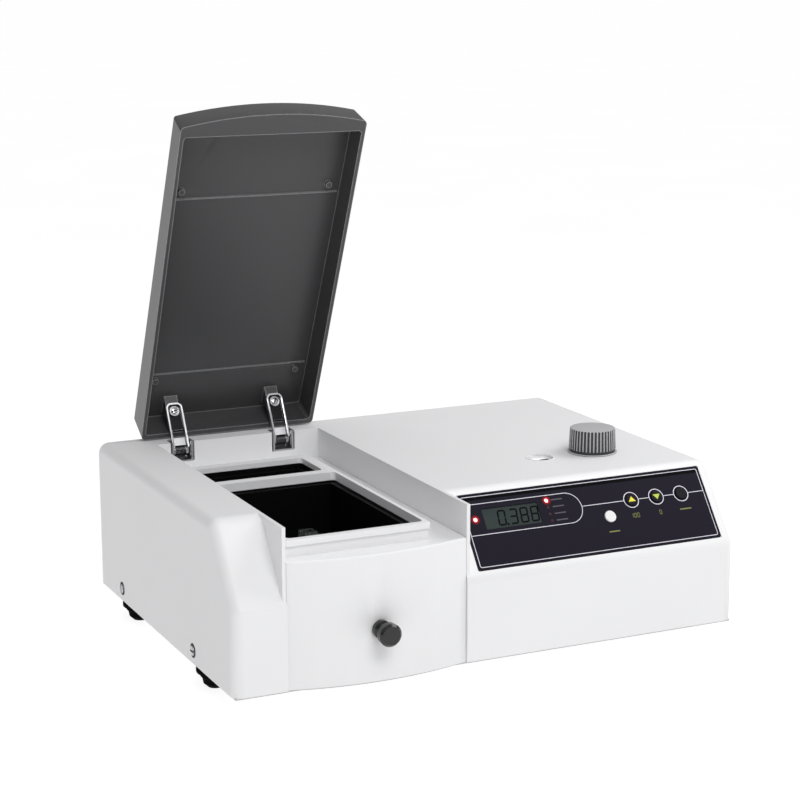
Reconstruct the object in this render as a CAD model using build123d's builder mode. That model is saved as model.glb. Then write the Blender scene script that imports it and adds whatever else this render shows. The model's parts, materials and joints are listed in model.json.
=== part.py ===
from build123d import *
import os
from math import atan2, cos, degrees, pi, radians, sin, tan

os.makedirs("parts", exist_ok=True)

# A bench spectrophotometer: white moulded cover, grey lid shown open, black sample well.
# Frame: X to the right, Y to the back, Z up, millimetres. The origin is on the bench,
# under the middle of the whole instrument, from the pull knob to the power switch.

# Driving dimensions of the cover
body_width = 450.0
body_depth = 338.0
foot_gap = 15.0
cover_height = 129.3
wall = 3.0
edge_radius = 12.0
end_radius = 9.0
slope_run = 46.6
slope_drop = 61.2
base_thickness = 1.5
base_setback = 2.0

# Driving dimensions of the recess under the lid
wing_width = 44.5
recess_width = 153.5
cheek = 3.0
cheek_setback = 2.5
cheek_radius = 5.0
rear_strip = 38.0
deck_drop = 26.8
panel_bulge = 11.0

# Driving dimensions of the collar and its two openings
collar_height = 14.0
collar_wall = 3.5
collar_gap_left = 3.0
collar_gap_right = 28.0
collar_setback = 12.0
front_opening_share = 7 / 12
crossbar = 10.0
rear_opening_share = 4 / 25
rear_opening_inset = 6.5
rear_band = 10.0
ledge = 3.0
tray_thickness = 2.5
tub_wall = 2.0

# Driving dimensions of the lid and of how far it stands open
lid_overlap_left = 9.5
lid_overlap_right = 1.0
lid_overlap_rear = 14.0
lid_front_setback = 3.0
lid_front_bulge = 9.5
lid_height_rear = 30.0
lid_height_front = 24.0
lid_draft = 3.8
lid_wall = 3.0
lid_rear_wall = 5.0
lid_flange = 9.0
lid_rest_gap = 0.4

# Driving dimensions of the two concealed hinges under the lid
hinge_spread = 96.0
hinge_shift = -5.5
hinge_notch_width = 22.0
hinge_notch_depth = 14.0
hinge_notch_drop = 17.8
hinge_sill = 7.5
hinge_pocket_depth = 26.5
hinge_pocket_drop = 20.5
pocket_wall = 2.5
fixed_pin_setback = 14.593
fixed_pin_drop = 16.846
lid_pin_s = -6.895
lid_pin_u = -10.739
link_turn = 78.8
lid_open_angle = 66.0

# Driving dimensions of the drive and of the sample carriage
drive_share = 1 / 3
knob_inset = 73.7
window_pitch = 51.3
knob_radius = 20.5
knob_height = 22.0
shaft_radius = 3.0
sample_depth = 77.5
rod_inset = 73.5
rod_rise = 17.5
rod_radius = 3.0
pull_gap = 1.0
pull_length = 20.0
slot_pitch = 16.0
slot_count = 4
carriage_end = 6.0
carriage_end_gap = 4.2
beam_rise = 32.0

# Driving dimensions of the pieces that fill the right block, from the recess to the far wall
housing_gap = 12.0
housing_setback = 54.0
lamp_gap = 4.0
lamp_house_width = 60.0
lamp_side_gap = 8.0
board_side_gap = 7.0
board_rear_gap = 16.0
board_depth = 90.0
board_gap = 15.0
transformer_gap = 39.0
core_width = 66.0

# Driving dimensions of the rear panel and its rocker switch
rear_panel_thickness = 1.6
rocker_height = 19.0
rocker_margin = 0.4
rocker_crest = 2.6
rocker_pin_depth = 2.0
rocker_angle = 9.0

# Clearances
running = 0.05
loose = 0.3

# Planes and levels that follow from them
half_width = body_width / 2
front_reach = panel_bulge - cheek_setback + pull_gap + pull_length
rocker_half = rocker_height / 2 - rocker_margin
rocker_swing = rocker_half * sin(radians(rocker_angle))
rocker_rise = (rocker_crest + rocker_pin_depth) * cos(radians(rocker_angle)) - rocker_pin_depth
rear_reach = rear_panel_thickness + rocker_rise + rocker_swing
front = (front_reach - body_depth - rear_reach) / 2
rear = front + body_depth
cover_bottom = foot_gap
cover_top = foot_gap + cover_height
slope_foot = cover_top - slope_drop
slope_head = front + slope_run
recess_left = -half_width + wing_width
recess_right = recess_left + recess_width
recess_middle = (recess_left + recess_right) / 2
recess_back = rear - rear_strip
cheek_front = front + cheek_setback
deck = cover_top - deck_drop
tray_bottom = deck - tray_thickness
collar_front = front + collar_setback
collar_left = recess_left + collar_gap_left
collar_right = recess_right - collar_gap_right
collar_top = deck + collar_height
front_opening = (recess_back - front) * front_opening_share
rear_opening = (recess_back - front) * rear_opening_share
sample_floor = deck - sample_depth
rod_x = recess_left + rod_inset
rod_z = sample_floor + rod_rise
carriage_travel = slot_pitch * (slot_count - 1)
box_front = collar_front + collar_wall + ledge + loose + tub_wall
beam_y = box_front + carriage_end_gap + carriage_travel + slot_pitch / 2 + carriage_end
beam_z = sample_floor + beam_rise
drive_y = front + body_depth * drive_share
knob_x = half_width - knob_inset
window_x = knob_x - window_pitch
hinge_notch_floor = cover_top - hinge_notch_drop
hinge_pocket_floor = cover_top - hinge_pocket_drop


def box_between(x0, x1, y0, y1, z0, z1, mode=Mode.ADD):
    """A block given by its limits along each axis."""
    with Locations(((x0 + x1) / 2, (y0 + y1) / 2, (z0 + z1) / 2)):
        return Box(x1 - x0, y1 - y0, z1 - z0, mode=mode)


def side_outline(inset):
    """Side view of the cover, with the sloping front, moved in by a wall on every side."""
    angle = atan2(slope_drop, slope_run)
    with BuildSketch() as outline:
        with BuildLine():
            Polyline(
                (front + inset, cover_bottom),
                (front + inset, slope_foot - inset * tan((pi / 2 - angle) / 2)),
                (slope_head + inset * tan(angle / 2), cover_top - inset),
                (rear - inset, cover_top - inset),
                (rear - inset, cover_bottom),
                close=True,
            )
        make_face()
        upper = outline.vertices().filter_by(lambda v: v.Y > cover_bottom + 1)
        fillet(upper, radius=edge_radius - inset)
    return outline.sketch


def bowed_outline(inset, back):
    """Plan of the bowed front between the cheeks, back to a straight line."""
    left = recess_left + loose + inset
    right = recess_right - loose - inset
    corner = cheek_front + inset
    with BuildSketch() as outline:
        with BuildLine():
            ThreePointArc((left, corner), (recess_middle, corner - panel_bulge), (right, corner))
            Polyline((right, corner), (right, back), (left, back), (left, corner))
        make_face()
    return outline.sketch


# Base plate: folded sheet under the cover, with a turned-up flange along each side that
# takes the side screws. Its front follows the bow of the front panel.
flange_rise = 21.0
flange_shortfall = 12.0
screw_rise = 11.0
screw_shares = (0.27, 0.808)
flange_top = cover_bottom + flange_rise
screw_z = cover_bottom + screw_rise
screw_ys = [front + share * body_depth for share in screw_shares]
screw_radius = 2.0
screw_head_radius = 4.2
screw_head_height = 1.4
base_half_width = half_width - base_setback
flange_outer = half_width - wall - loose
with BuildPart() as base_plate:
    with BuildSketch(Plane.XY.offset(cover_bottom - base_thickness)):
        with Locations((0, (front + rear) / 2)):
            Rectangle(2 * base_half_width, body_depth - 2 * base_setback)
        add(bowed_outline(base_setback, collar_front))
    extrude(amount=base_thickness)
    for side in (-1, 1):
        flange_middle = side * (flange_outer - base_thickness / 2)
        with Locations((flange_middle, (front + rear) / 2, (cover_bottom + flange_top) / 2)):
            Box(base_thickness, body_depth - 2 * flange_shortfall, flange_top - cover_bottom)
        for y in screw_ys:
            with Locations(Location((side * flange_outer, y, screw_z), (0, side * 90, 0))):
                Hole(radius=screw_radius + running, depth=base_thickness)
base_plate.part.label = "base_plate"
export_step(base_plate.part, "parts/base_plate.step")

# Feet: four black rubber feet, a wide flange over a round pad
foot_radius = 12.0
foot_inset_x = 12.5
foot_ys = {"front": front + 0.222 * body_depth, "rear": rear - 0.222 * body_depth}
foot_height = foot_gap - base_thickness
for side_name, side in (("left", -1), ("right", 1)):
    for row_name, y in foot_ys.items():
        with BuildPart() as foot:
            with BuildSketch(Plane.XZ):
                with BuildLine():
                    Polyline(
                        (0, 0),
                        (foot_radius * 0.5, 0),
                        (foot_radius * 0.8, foot_height * 0.25),
                        (foot_radius * 0.86, foot_height * 0.55),
                        (foot_radius, foot_height * 0.7),
                        (foot_radius, foot_height),
                        (0, foot_height),
                        close=True,
                    )
                make_face()
            revolve(axis=Axis.Z)
        placed = foot.part.moved(Location((side * (half_width - foot_inset_x), y, 0)))
        placed.label = f"foot_{row_name}_{side_name}"
        export_step(placed, f"parts/foot_{row_name}_{side_name}.step")

# Inside of the cover, which the cover's wall goes round
with BuildPart() as cover_cavity:
    with BuildSketch(Plane.YZ.offset(wall - half_width)):
        add(side_outline(wall))
    extrude(amount=body_width - 2 * wall)
    cavity_ends = cover_cavity.faces().filter_by(Axis.X).edges()
    fillet(cavity_ends.filter_by(lambda e: e.center().Z > cover_bottom + 1), radius=end_radius - wall)

# Places on the cover: the hinge pockets, and the control panel in coordinates of the slope,
# x along it and v up it from its middle
hinge_middle = recess_middle + hinge_shift
hinge_places = {"left": hinge_middle - hinge_spread / 2, "right": hinge_middle + hinge_spread / 2}
slope_plane = Plane(
    origin=(0, front + slope_run / 2, slope_foot + slope_drop / 2),
    x_dir=(1, 0, 0),
    z_dir=(0, -slope_drop, slope_run),
)
panel_side_gap = 11.5
panel_height = 65.6
panel_rise = 0.4
panel_pocket = 0.9
panel_left = recess_right + panel_side_gap
panel_right = half_width - panel_side_gap
panel_width = panel_right - panel_left
panel_middle = ((panel_left + panel_right) / 2, panel_rise)
lcd_width = 0.221 * panel_width
lcd_height = 17.6
lcd_rise = 10.2
lcd_middle = (panel_left + 0.19 * panel_width, lcd_rise)
key_rise = 10.5
mode_key_rise = -1.6
key_pitch = 0.106 * panel_width
key_first_x = panel_right - 0.3205 * panel_width
key_radius = 5.0
key_places = {
    "up": (key_first_x, key_rise),
    "down": (key_first_x + key_pitch, key_rise),
    "print": (key_first_x + 2 * key_pitch, key_rise),
    "mode": (key_first_x - key_pitch, mode_key_rise),
}
low_lamp_rise = 10.8
high_lamp_rise = 19.5
led_places = (
    (panel_left + 0.045 * panel_width, low_lamp_rise),
    (panel_left + 0.34 * panel_width, high_lamp_rise),
)
led_radius = 1.5
board_drop = 12.0
board_margin = 3.0
post_margin = 7.5
post_rows = 52.0
post_radius = 3.0

# Knob bush, dial window and rear panel openings
bush_radius = 6.0
window_radius = 11.0
window_bezel = 1.6
window_recess = 1.5
rear_panel_width = 150.0
rear_panel_height = 62.0
rear_panel_side_gap = 30.0
rear_panel_rise = 47.0
rear_panel_margin = 6.0
rear_panel_x = half_width - rear_panel_width / 2 - rear_panel_side_gap
rear_panel_z = cover_bottom + rear_panel_rise
snout_radius = 7.0
vent_rise = 60.0
vent_length = 50.0
vent_width = 4.0
vent_pitch = 12.0
vent_count = 10

# Cover: one white moulding with a thin wall all round, open underneath. The middle is cut
# away between two cheeks, which stand forward of the sloping front.
with BuildPart() as cover_shell:
    with BuildSketch(Plane.YZ.offset(-half_width)):
        add(side_outline(0))
    extrude(amount=body_width)
    shell_ends = cover_shell.faces().filter_by(Axis.X).edges()
    fillet(shell_ends.filter_by(lambda e: e.center().Z > cover_bottom + 1), radius=end_radius)
    add(cover_cavity.part, mode=Mode.SUBTRACT)
    # the gap for the recess and the front panel
    box_between(
        recess_left, recess_right, front - 1, recess_back, cover_bottom - 1, cover_top + 1, mode=Mode.SUBTRACT
    )
    # cheeks on both sides of it, rounded at their top front corner
    for inner_face in (recess_left - cheek, recess_right):
        with BuildSketch(Plane.YZ.offset(inner_face)) as cheek_side:
            with Locations(((cheek_front + recess_back + wall) / 2, (cover_bottom + cover_top) / 2)):
                Rectangle(recess_back + wall - cheek_front, cover_height)
            corners = cheek_side.vertices().group_by(Axis.Y)[0].sort_by(Axis.Z)
            fillet(corners[-1], radius=cheek_radius)
        extrude(amount=cheek)
    # back wall of the recess, and ledges that carry its floor
    box_between(
        recess_left - cheek, recess_right + cheek,
        recess_back, recess_back + wall,
        cover_bottom, cover_top - wall,
    )
    for x0 in (recess_left, recess_right - ledge):
        box_between(x0, x0 + ledge, collar_front, recess_back, tray_bottom - ledge, tray_bottom)
    # hinge pockets: a notch that is open to the front and the top, and behind its sill a deeper
    # hollow that reaches on under the top
    pocket_back = recess_back + hinge_pocket_depth
    for x in hinge_places.values():
        half_outside = hinge_notch_width / 2 + pocket_wall
        box_between(
            x - half_outside, x + half_outside,
            recess_back, pocket_back + pocket_wall,
            hinge_pocket_floor - pocket_wall, cover_top - wall,
        )
    for x in hinge_places.values():
        half_inside = hinge_notch_width / 2
        notch_top = cover_top + 2 * pocket_wall
        with BuildSketch(Plane.XZ.offset(1 - recess_back)):
            with Locations((x, (hinge_notch_floor + notch_top) / 2)):
                RectangleRounded(hinge_notch_width, notch_top - hinge_notch_floor, 1)
        extrude(amount=-(hinge_notch_depth + 1), mode=Mode.SUBTRACT)
        box_between(
            x - half_inside, x + half_inside,
            recess_back + hinge_sill, pocket_back,
            hinge_pocket_floor, cover_top - wall,
            mode=Mode.SUBTRACT,
        )
    # posts behind the slope that carry the display board
    with BuildSketch(slope_plane.offset(-board_drop)):
        with Locations((panel_middle[0], 0)):
            with GridLocations(panel_width - 2 * post_margin, post_rows, 2, 2):
                Circle(post_radius)
    extrude(amount=board_drop - wall)
    # pocket, display window and key holes of the control panel
    with BuildSketch(slope_plane):
        with Locations(panel_middle):
            Rectangle(panel_width + 2 * loose, panel_height + 2 * loose)
    extrude(amount=-panel_pocket, mode=Mode.SUBTRACT)
    with BuildSketch(slope_plane):
        with Locations(lcd_middle):
            Rectangle(lcd_width + 2, lcd_height + 2)
        with Locations(*key_places.values()):
            Circle(key_radius + 1)
        with Locations(*led_places):
            Circle(led_radius + loose)
    extrude(amount=-2 * wall, mode=Mode.SUBTRACT)
    # hole for the bush of the knob, and the window over the dial
    with Locations((knob_x, drive_y, cover_top)):
        Hole(radius=bush_radius + running, depth=wall + 1)
    with Locations((window_x, drive_y, cover_top)):
        CounterBoreHole(
            radius=window_radius - 2,
            counter_bore_radius=window_radius + window_bezel + running,
            counter_bore_depth=window_recess,
            depth=wall + 1,
        )
    # hole in each cheek for the light
    with BuildSketch(Plane.YZ.offset(recess_left - cheek - 1)):
        with Locations((beam_y, beam_z)):
            Circle(snout_radius + loose)
    extrude(amount=recess_width + 2 * cheek + 2, mode=Mode.SUBTRACT)
    # opening behind the rear panel
    box_between(
        rear_panel_x - rear_panel_width / 2 + rear_panel_margin,
        rear_panel_x + rear_panel_width / 2 - rear_panel_margin,
        rear - wall - 1, rear + 1,
        rear_panel_z - rear_panel_height / 2 + rear_panel_margin,
        rear_panel_z + rear_panel_height / 2 - rear_panel_margin,
        mode=Mode.SUBTRACT,
    )
    # cooling slots behind the transformer
    with BuildSketch(Plane.XZ.offset(-rear - 1)):
        with Locations((recess_middle, cover_bottom + vent_rise)):
            with GridLocations(vent_pitch, 1, vent_count, 1):
                SlotOverall(vent_length, vent_width, rotation=90)
    extrude(amount=wall + 2, mode=Mode.SUBTRACT)
    # screw holes low on both sides
    for side in (-1, 1):
        for y in screw_ys:
            with Locations(Location((side * half_width, y, screw_z), (0, side * 90, 0))):
                Hole(radius=screw_radius + loose, depth=wall + 1)
cover_shell.part.label = "cover_shell"
export_step(cover_shell.part, "parts/cover_shell.step")

# Side screws: pan heads on the cover's sides, into the flanges of the base plate
with BuildPart() as side_screws:
    for side in (-1, 1):
        for y in screw_ys:
            with BuildSketch(Plane.YZ.offset(side * half_width)):
                with Locations((y, screw_z)):
                    Circle(screw_head_radius)
            extrude(amount=side * screw_head_height)
            with BuildSketch(Plane.YZ.offset(side * half_width)):
                with Locations((y, screw_z)):
                    Circle(screw_radius)
            extrude(amount=-side * (wall + loose + base_thickness + 1))
side_screws.part.label = "side_screws"
export_step(side_screws.part, "parts/side_screws.step")

# Front panel: bowed white moulding between the cheeks. Its top turns back as a narrow deck
# up to the collar.
panel_wall = 2.5
bush_flange_radius = 8.0
rod_bush_radius = 5.5
panel_edge_radius = 2.0
with BuildPart() as front_panel:
    with BuildSketch(Plane.XY.offset(cover_bottom)):
        add(bowed_outline(0, collar_front))
    extrude(amount=deck - cover_bottom)
    top_front = front_panel.edges().filter_by(GeomType.CIRCLE).group_by(Axis.Z)[-1]
    fillet(top_front, radius=panel_edge_radius)
    with BuildSketch(Plane.XY.offset(cover_bottom)):
        add(bowed_outline(panel_wall, collar_front))
    extrude(amount=deck - panel_wall - cover_bottom, mode=Mode.SUBTRACT)
    with BuildSketch(Plane.XZ.offset(-collar_front)):
        with Locations((rod_x, rod_z)):
            Circle(rod_bush_radius + running)
    extrude(amount=collar_front - cheek_front + 2 * panel_bulge, mode=Mode.SUBTRACT)
front_panel.part.label = "front_panel"
export_step(front_panel.part, "parts/front_panel.step")

# Recess tray: the floor of the recess with a raised collar round two openings, a small lip
# along the collar's front, and a ledge in each opening
front_x0 = collar_left + collar_wall
front_x1 = collar_right - collar_wall
front_y0 = collar_front + collar_wall
front_y1 = front_y0 + front_opening
rear_y0 = front_y1 + crossbar
rear_y1 = rear_y0 + rear_opening
rear_x1 = front_x1 - rear_opening_inset
collar_rear = rear_y1 + rear_band
lip_reach = 2.0
lip_height = 5.0
openings = ((front_x0, front_x1, front_y0, front_y1), (front_x0, rear_x1, rear_y0, rear_y1))
with BuildPart() as recess_tray:
    box_between(
        recess_left + loose, recess_right - loose, collar_front, recess_back - loose, tray_bottom, deck
    )
    with BuildSketch(Plane.XY.offset(deck)):
        with Locations(((collar_left + collar_right) / 2, (collar_front + collar_rear) / 2)):
            RectangleRounded(collar_right - collar_left, collar_rear - collar_front, 2)
    extrude(amount=collar_height)
    with BuildSketch(Plane.XY.offset(collar_top - lip_height)):
        with Locations(((collar_left + collar_right) / 2, collar_front)):
            RectangleRounded(collar_right - collar_left, 2 * lip_reach, 1.5)
    extrude(amount=lip_height)
    for x0, x1, y0, y1 in openings:
        with BuildSketch(Plane.XY.offset(deck)):
            with Locations(((x0 + x1) / 2, (y0 + y1) / 2)):
                RectangleRounded(x1 - x0, y1 - y0, 4)
        extrude(amount=collar_height, mode=Mode.SUBTRACT)
        with BuildSketch(Plane.XY.offset(tray_bottom)):
            with Locations(((x0 + x1) / 2, (y0 + y1) / 2)):
                RectangleRounded(x1 - x0 - 2 * ledge, y1 - y0 - 2 * ledge, 2)
        extrude(amount=tray_thickness, mode=Mode.SUBTRACT)
recess_tray.part.label = "recess_tray"
export_step(recess_tray.part, "parts/recess_tray.step")

# Sample box and rear well: black tubs that hang in the two openings by their flanges
flange_height = 5.5
beam_hole_radius = 5.0
well_depth = 25.5
rail_radius = 2.0
rail_spread = 18.0
rail_rise = 8.0
rail_z = sample_floor + rail_rise
tubs = {
    "sample_box": (*openings[0], sample_floor),
    "rear_well": (*openings[1], deck - well_depth),
}
for name, (x0, x1, y0, y1, floor) in tubs.items():
    middle = ((x0 + x1) / 2, (y0 + y1) / 2)
    outer = (x1 - x0 - 2 * (ledge + loose), y1 - y0 - 2 * (ledge + loose))
    with BuildPart() as tub:
        with BuildSketch(Plane.XY.offset(deck)):
            with Locations(middle):
                RectangleRounded(x1 - x0 - 2 * loose, y1 - y0 - 2 * loose, 3.5)
        extrude(amount=flange_height)
        with BuildSketch(Plane.XY.offset(floor)):
            with Locations(middle):
                RectangleRounded(*outer, 2)
        extrude(amount=deck - floor)
        with BuildSketch(Plane.XY.offset(floor + tub_wall)):
            with Locations(middle):
                Rectangle(outer[0] - 2 * tub_wall, outer[1] - 2 * tub_wall)
        extrude(amount=deck + flange_height - floor - tub_wall, mode=Mode.SUBTRACT)
        if name == "sample_box":
            # holes for the light through both sides and for the rod through the front
            with BuildSketch(Plane.YZ.offset(x0)):
                with Locations((beam_y, beam_z)):
                    Circle(beam_hole_radius)
            extrude(amount=x1 - x0, mode=Mode.SUBTRACT)
            with BuildSketch(Plane.XZ.offset(-y0 - 2 * ledge - tub_wall)):
                with Locations((rod_x, rod_z)):
                    Circle(rod_radius + loose)
            extrude(amount=2 * ledge + tub_wall, mode=Mode.SUBTRACT)
    tub.part.label = name
    export_step(tub.part, f"parts/{name}.step")

# Rails of the sample carriage: two steel rods between the ends of the sample box
box_inner_y0 = front_y0 + ledge + loose + tub_wall
box_inner_y1 = front_y1 - ledge - loose - tub_wall
for side_name, side in (("left", -1), ("right", 1)):
    with BuildPart() as carriage_rail:
        with BuildSketch(Plane.XZ.offset(-box_inner_y1)):
            with Locations((rod_x + side * rail_spread / 2, rail_z)):
                Circle(rail_radius)
        extrude(amount=box_inner_y1 - box_inner_y0)
    carriage_rail.part.label = f"carriage_rail_{side_name}"
    export_step(carriage_rail.part, f"parts/carriage_rail_{side_name}.step")

# Sample carriage: a black block with four square pockets for cuvettes, a window through
# both long sides of each pocket, and bores for the two rails
slot_size = 12.8
slot_rise = 14.0
carriage_width = 28.0
carriage_gap = 3.0
carriage_height = 45.0
window_height = 22.0
light_slot = 5.0
carriage_length = slot_pitch * slot_count + 2 * carriage_end
carriage_bottom = sample_floor + carriage_gap
carriage_top = carriage_bottom + carriage_height
slot_floor = sample_floor + slot_rise
carriage_y = beam_y + carriage_travel / 2
with BuildPart() as cuvette_carriage:
    with BuildSketch(Plane.XY.offset(carriage_bottom)):
        with Locations((rod_x, carriage_y)):
            RectangleRounded(carriage_width, carriage_length, 2)
    extrude(amount=carriage_top - carriage_bottom)
    with BuildSketch(Plane.XY.offset(slot_floor)):
        with Locations((rod_x, carriage_y)):
            with GridLocations(1, slot_pitch, 1, slot_count):
                Rectangle(slot_size, slot_size)
    extrude(amount=carriage_top - slot_floor, mode=Mode.SUBTRACT)
    with BuildSketch(Plane.YZ.offset(rod_x - carriage_width)):
        with Locations((carriage_y, beam_z)):
            with GridLocations(slot_pitch, 1, slot_count, 1):
                Rectangle(light_slot, window_height)
    extrude(amount=2 * carriage_width, mode=Mode.SUBTRACT)
    with BuildSketch(Plane.XZ.offset(-carriage_y - carriage_length / 2)):
        with Locations((rod_x, rail_z)):
            with GridLocations(rail_spread, 1, 2, 1):
                Circle(rail_radius + running)
    extrude(amount=carriage_length, mode=Mode.SUBTRACT)
cuvette_carriage.part.label = "cuvette_carriage"
export_step(cuvette_carriage.part, "parts/cuvette_carriage.step")

# Rod bush: a flanged ring seated behind the bowed panel, which the pull rod runs in
bush_flange = 2.5
panel_face = cheek_front - panel_bulge
bush_seat = panel_face + panel_wall + loose
with BuildPart() as rod_bush:
    with BuildSketch(Plane.XZ.offset(-bush_seat - bush_flange)):
        with Locations((rod_x, rod_z)):
            Circle(bush_flange_radius)
    extrude(amount=bush_flange)
    with BuildSketch(Plane.XZ.offset(-bush_seat)):
        with Locations((rod_x, rod_z)):
            Circle(rod_bush_radius)
    extrude(amount=panel_wall + loose)
    with BuildSketch(Plane.XZ.offset(-bush_seat - bush_flange)):
        with Locations((rod_x, rod_z)):
            Circle(rod_radius + running)
    extrude(amount=bush_flange + panel_wall + loose, mode=Mode.SUBTRACT)
rod_bush.part.label = "rod_bush"
export_step(rod_bush.part, "parts/rod_bush.step")

# Pull rod and its knob: the rod is fixed to the front of the carriage; the black knob has a
# rear disc close to the panel, a waist and a wider front disc
pull_bore = 12.0
pull_tip_radius = 9.25
pull_disc_radius = 7.5
pull_waist_radius = 4.5
pull_back = panel_face - pull_gap
pull_tip = pull_back - pull_length
with BuildPart() as pull_rod:
    with BuildSketch(Plane.XZ.offset(-carriage_y + carriage_length / 2)):
        with Locations((rod_x, rod_z)):
            Circle(rod_radius)
    extrude(amount=carriage_y - carriage_length / 2 - (pull_back - pull_bore))
pull_rod.part.label = "pull_rod"
export_step(pull_rod.part, "parts/pull_rod.step")

with BuildPart() as pull_knob:
    with BuildSketch(Plane.YZ.offset(rod_x)):
        with BuildLine():
            Polyline(
                (pull_back, rod_z),
                (pull_back, rod_z + pull_disc_radius),
                (pull_back - 0.2 * pull_length, rod_z + pull_disc_radius),
                (pull_back - 0.275 * pull_length, rod_z + pull_waist_radius),
                (pull_back - 0.45 * pull_length, rod_z + pull_waist_radius),
                (pull_back - 0.65 * pull_length, rod_z + pull_tip_radius),
                (pull_tip + 0.1 * pull_length, rod_z + pull_tip_radius),
                (pull_tip, rod_z + pull_disc_radius),
                (pull_tip, rod_z),
                close=True,
            )
        make_face()
    revolve(axis=Axis((rod_x, 0, rod_z), (0, 1, 0)))
    with BuildSketch(Plane.XZ.offset(-pull_back)):
        with Locations((rod_x, rod_z)):
            Circle(rod_radius + running)
    extrude(amount=pull_bore, mode=Mode.SUBTRACT)
pull_knob.part.label = "pull_knob"
export_step(pull_knob.part, "parts/pull_knob.step")

# Hinges: places of the pins in the side view, as (y, z). The fixed pin is on the bracket and
# the lid pin on the arm; the link joins them, and turns by link_turn as the lid opens by
# lid_open_angle. In the lid, s runs from the rear of its rim to the front and u outwards.
pin_radius = 1.5
link_radius = 3.0
spring_radius = 4.2
link_half = 5.7
link_width = 5.0
arm_inner = 6.0
arm_outer = 7.5
ear_inner = 8.2
ear_outer = 9.7
fixed_pin_y = recess_back + fixed_pin_setback
fixed_pin_z = cover_top - fixed_pin_drop
link_closed_y = recess_back + lid_overlap_rear - lid_pin_s - fixed_pin_y
link_closed_z = cover_top + lid_rest_gap + lid_pin_u - fixed_pin_z
turn = radians(link_turn)
lid_pin_y = fixed_pin_y + link_closed_y * cos(turn) - link_closed_z * sin(turn)
lid_pin_z = fixed_pin_z + link_closed_y * sin(turn) + link_closed_z * cos(turn)
open_sin = sin(radians(lid_open_angle))
open_cos = cos(radians(lid_open_angle))
rim_open_y = lid_pin_y + lid_pin_s * open_cos - lid_pin_u * open_sin
rim_open_z = lid_pin_z - lid_pin_s * open_sin - lid_pin_u * open_cos
# Plane of the open lid's rim: x along the lid's width, -y along its length, z outwards
rim_plane = Plane(
    origin=(0, rim_open_y, rim_open_z),
    x_dir=(1, 0, 0),
    z_dir=(0, open_sin, open_cos),
)
lid_length = (recess_back + lid_overlap_rear) - (front + lid_front_setback)
lid_left = recess_left - lid_overlap_left
lid_right = recess_right + lid_overlap_right
lid_middle = (lid_left + lid_right) / 2
lid_slope = degrees(atan2(lid_height_rear - lid_height_front, lid_length))


def lid_outline(inset, back, corner_radius):
    """Outline of the lid in its rim plane, straight at the hinge side and bowed in front."""
    left = lid_left + inset
    right = lid_right - inset
    reach = -lid_length + inset
    with BuildSketch() as outline:
        with BuildLine():
            ThreePointArc((left, reach), (lid_middle, reach - lid_front_bulge), (right, reach))
            Polyline((right, reach), (right, -back), (left, -back), (left, reach))
        make_face()
        fillet(outline.vertices(), radius=corner_radius)
    return outline.sketch


def wedge_above(depth_rear, depth_front):
    """A block over a sloping plane that lies deeper at the hinge side than in front."""
    over = lid_height_rear
    climb = over * tan(radians(lid_slope))
    with BuildPart() as wedge:
        with BuildSketch(Plane.YZ.offset(lid_left - wall)):
            with BuildLine():
                Polyline(
                    (over, depth_rear + climb),
                    (-lid_length - over, depth_front - climb),
                    (-lid_length - over, depth_rear + over),
                    (over, depth_rear + over),
                    close=True,
                )
            make_face()
        extrude(amount=lid_right - lid_left + 2 * wall)
    return wedge.part


# Hollow of the lid, in the lid's own frame: behind the flange at the front, it reaches on
# to the bowed front wall
with BuildPart() as lid_hollow:
    flange_edge = -lid_length + lid_flange
    with BuildSketch():
        with Locations((lid_middle, (flange_edge - lid_rear_wall) / 2)):
            RectangleRounded(
                lid_right - lid_left - 2 * lid_wall - 1, -flange_edge - lid_rear_wall, 3
            )
    extrude(amount=lid_height_rear)
    with BuildSketch(Plane.XY.offset(lid_wall)):
        add(lid_outline(lid_wall + 1.5, lid_rear_wall, 3))
    extrude(amount=lid_height_rear - lid_wall)
    add(wedge_above(lid_height_rear - lid_wall, lid_height_front - lid_wall), mode=Mode.SUBTRACT)

# Hinge arms in the same frame: a straight channel that leans in the lid. Its front edges
# start below the rim; along goes up the arm and back goes away from the front edges.
plate_thickness = 1.5
arm_lean = radians(52.2)
arm_foot_s = -0.384
arm_foot_u = -15.283
arm_length = 41.4
arm_depth = 4.6
arm_web_start = 17.0
arm_cheek_rear = ((6.5, arm_depth), (3.5, 6.5))
arm_cheek_front = ((-2.0, 4.2), (0.0, 2.0), (6.5, 1.0))
arm_screw = 34.1
arm_screw_radius = 4.0
arm_screw_height = 1.6
arm_shank_radius = 1.6
arm_shank_length = 6.0
lid_rib_shares = (0.166, 0.745)
lid_post_shares = (0.147, 0.772)
lid_rib_half = 0.6
lid_rib_height = 1.0
lid_post_inset = 15.5
lid_post_radius = 2.8
lid_post_height = 3.5
boss_half = 6.0
boss_start = 26.0
boss_end = 51.0
boss_rear = 9.0


def arm_point(along, back):
    """A point of the arm's side view in the lid's own frame."""
    return (
        -arm_foot_s - along * cos(arm_lean) + back * sin(arm_lean),
        arm_foot_u + along * sin(arm_lean) + back * cos(arm_lean),
    )


arm_plane = Plane(
    origin=(0, *arm_point(0, 0)),
    x_dir=(1, 0, 0),
    z_dir=(0, -sin(arm_lean), -cos(arm_lean)),
)


def lid_ceiling(s):
    """Level of the lid's inside at a distance from its rear edge, in its own frame."""
    return lid_height_rear - lid_wall - s * tan(radians(lid_slope))


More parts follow.
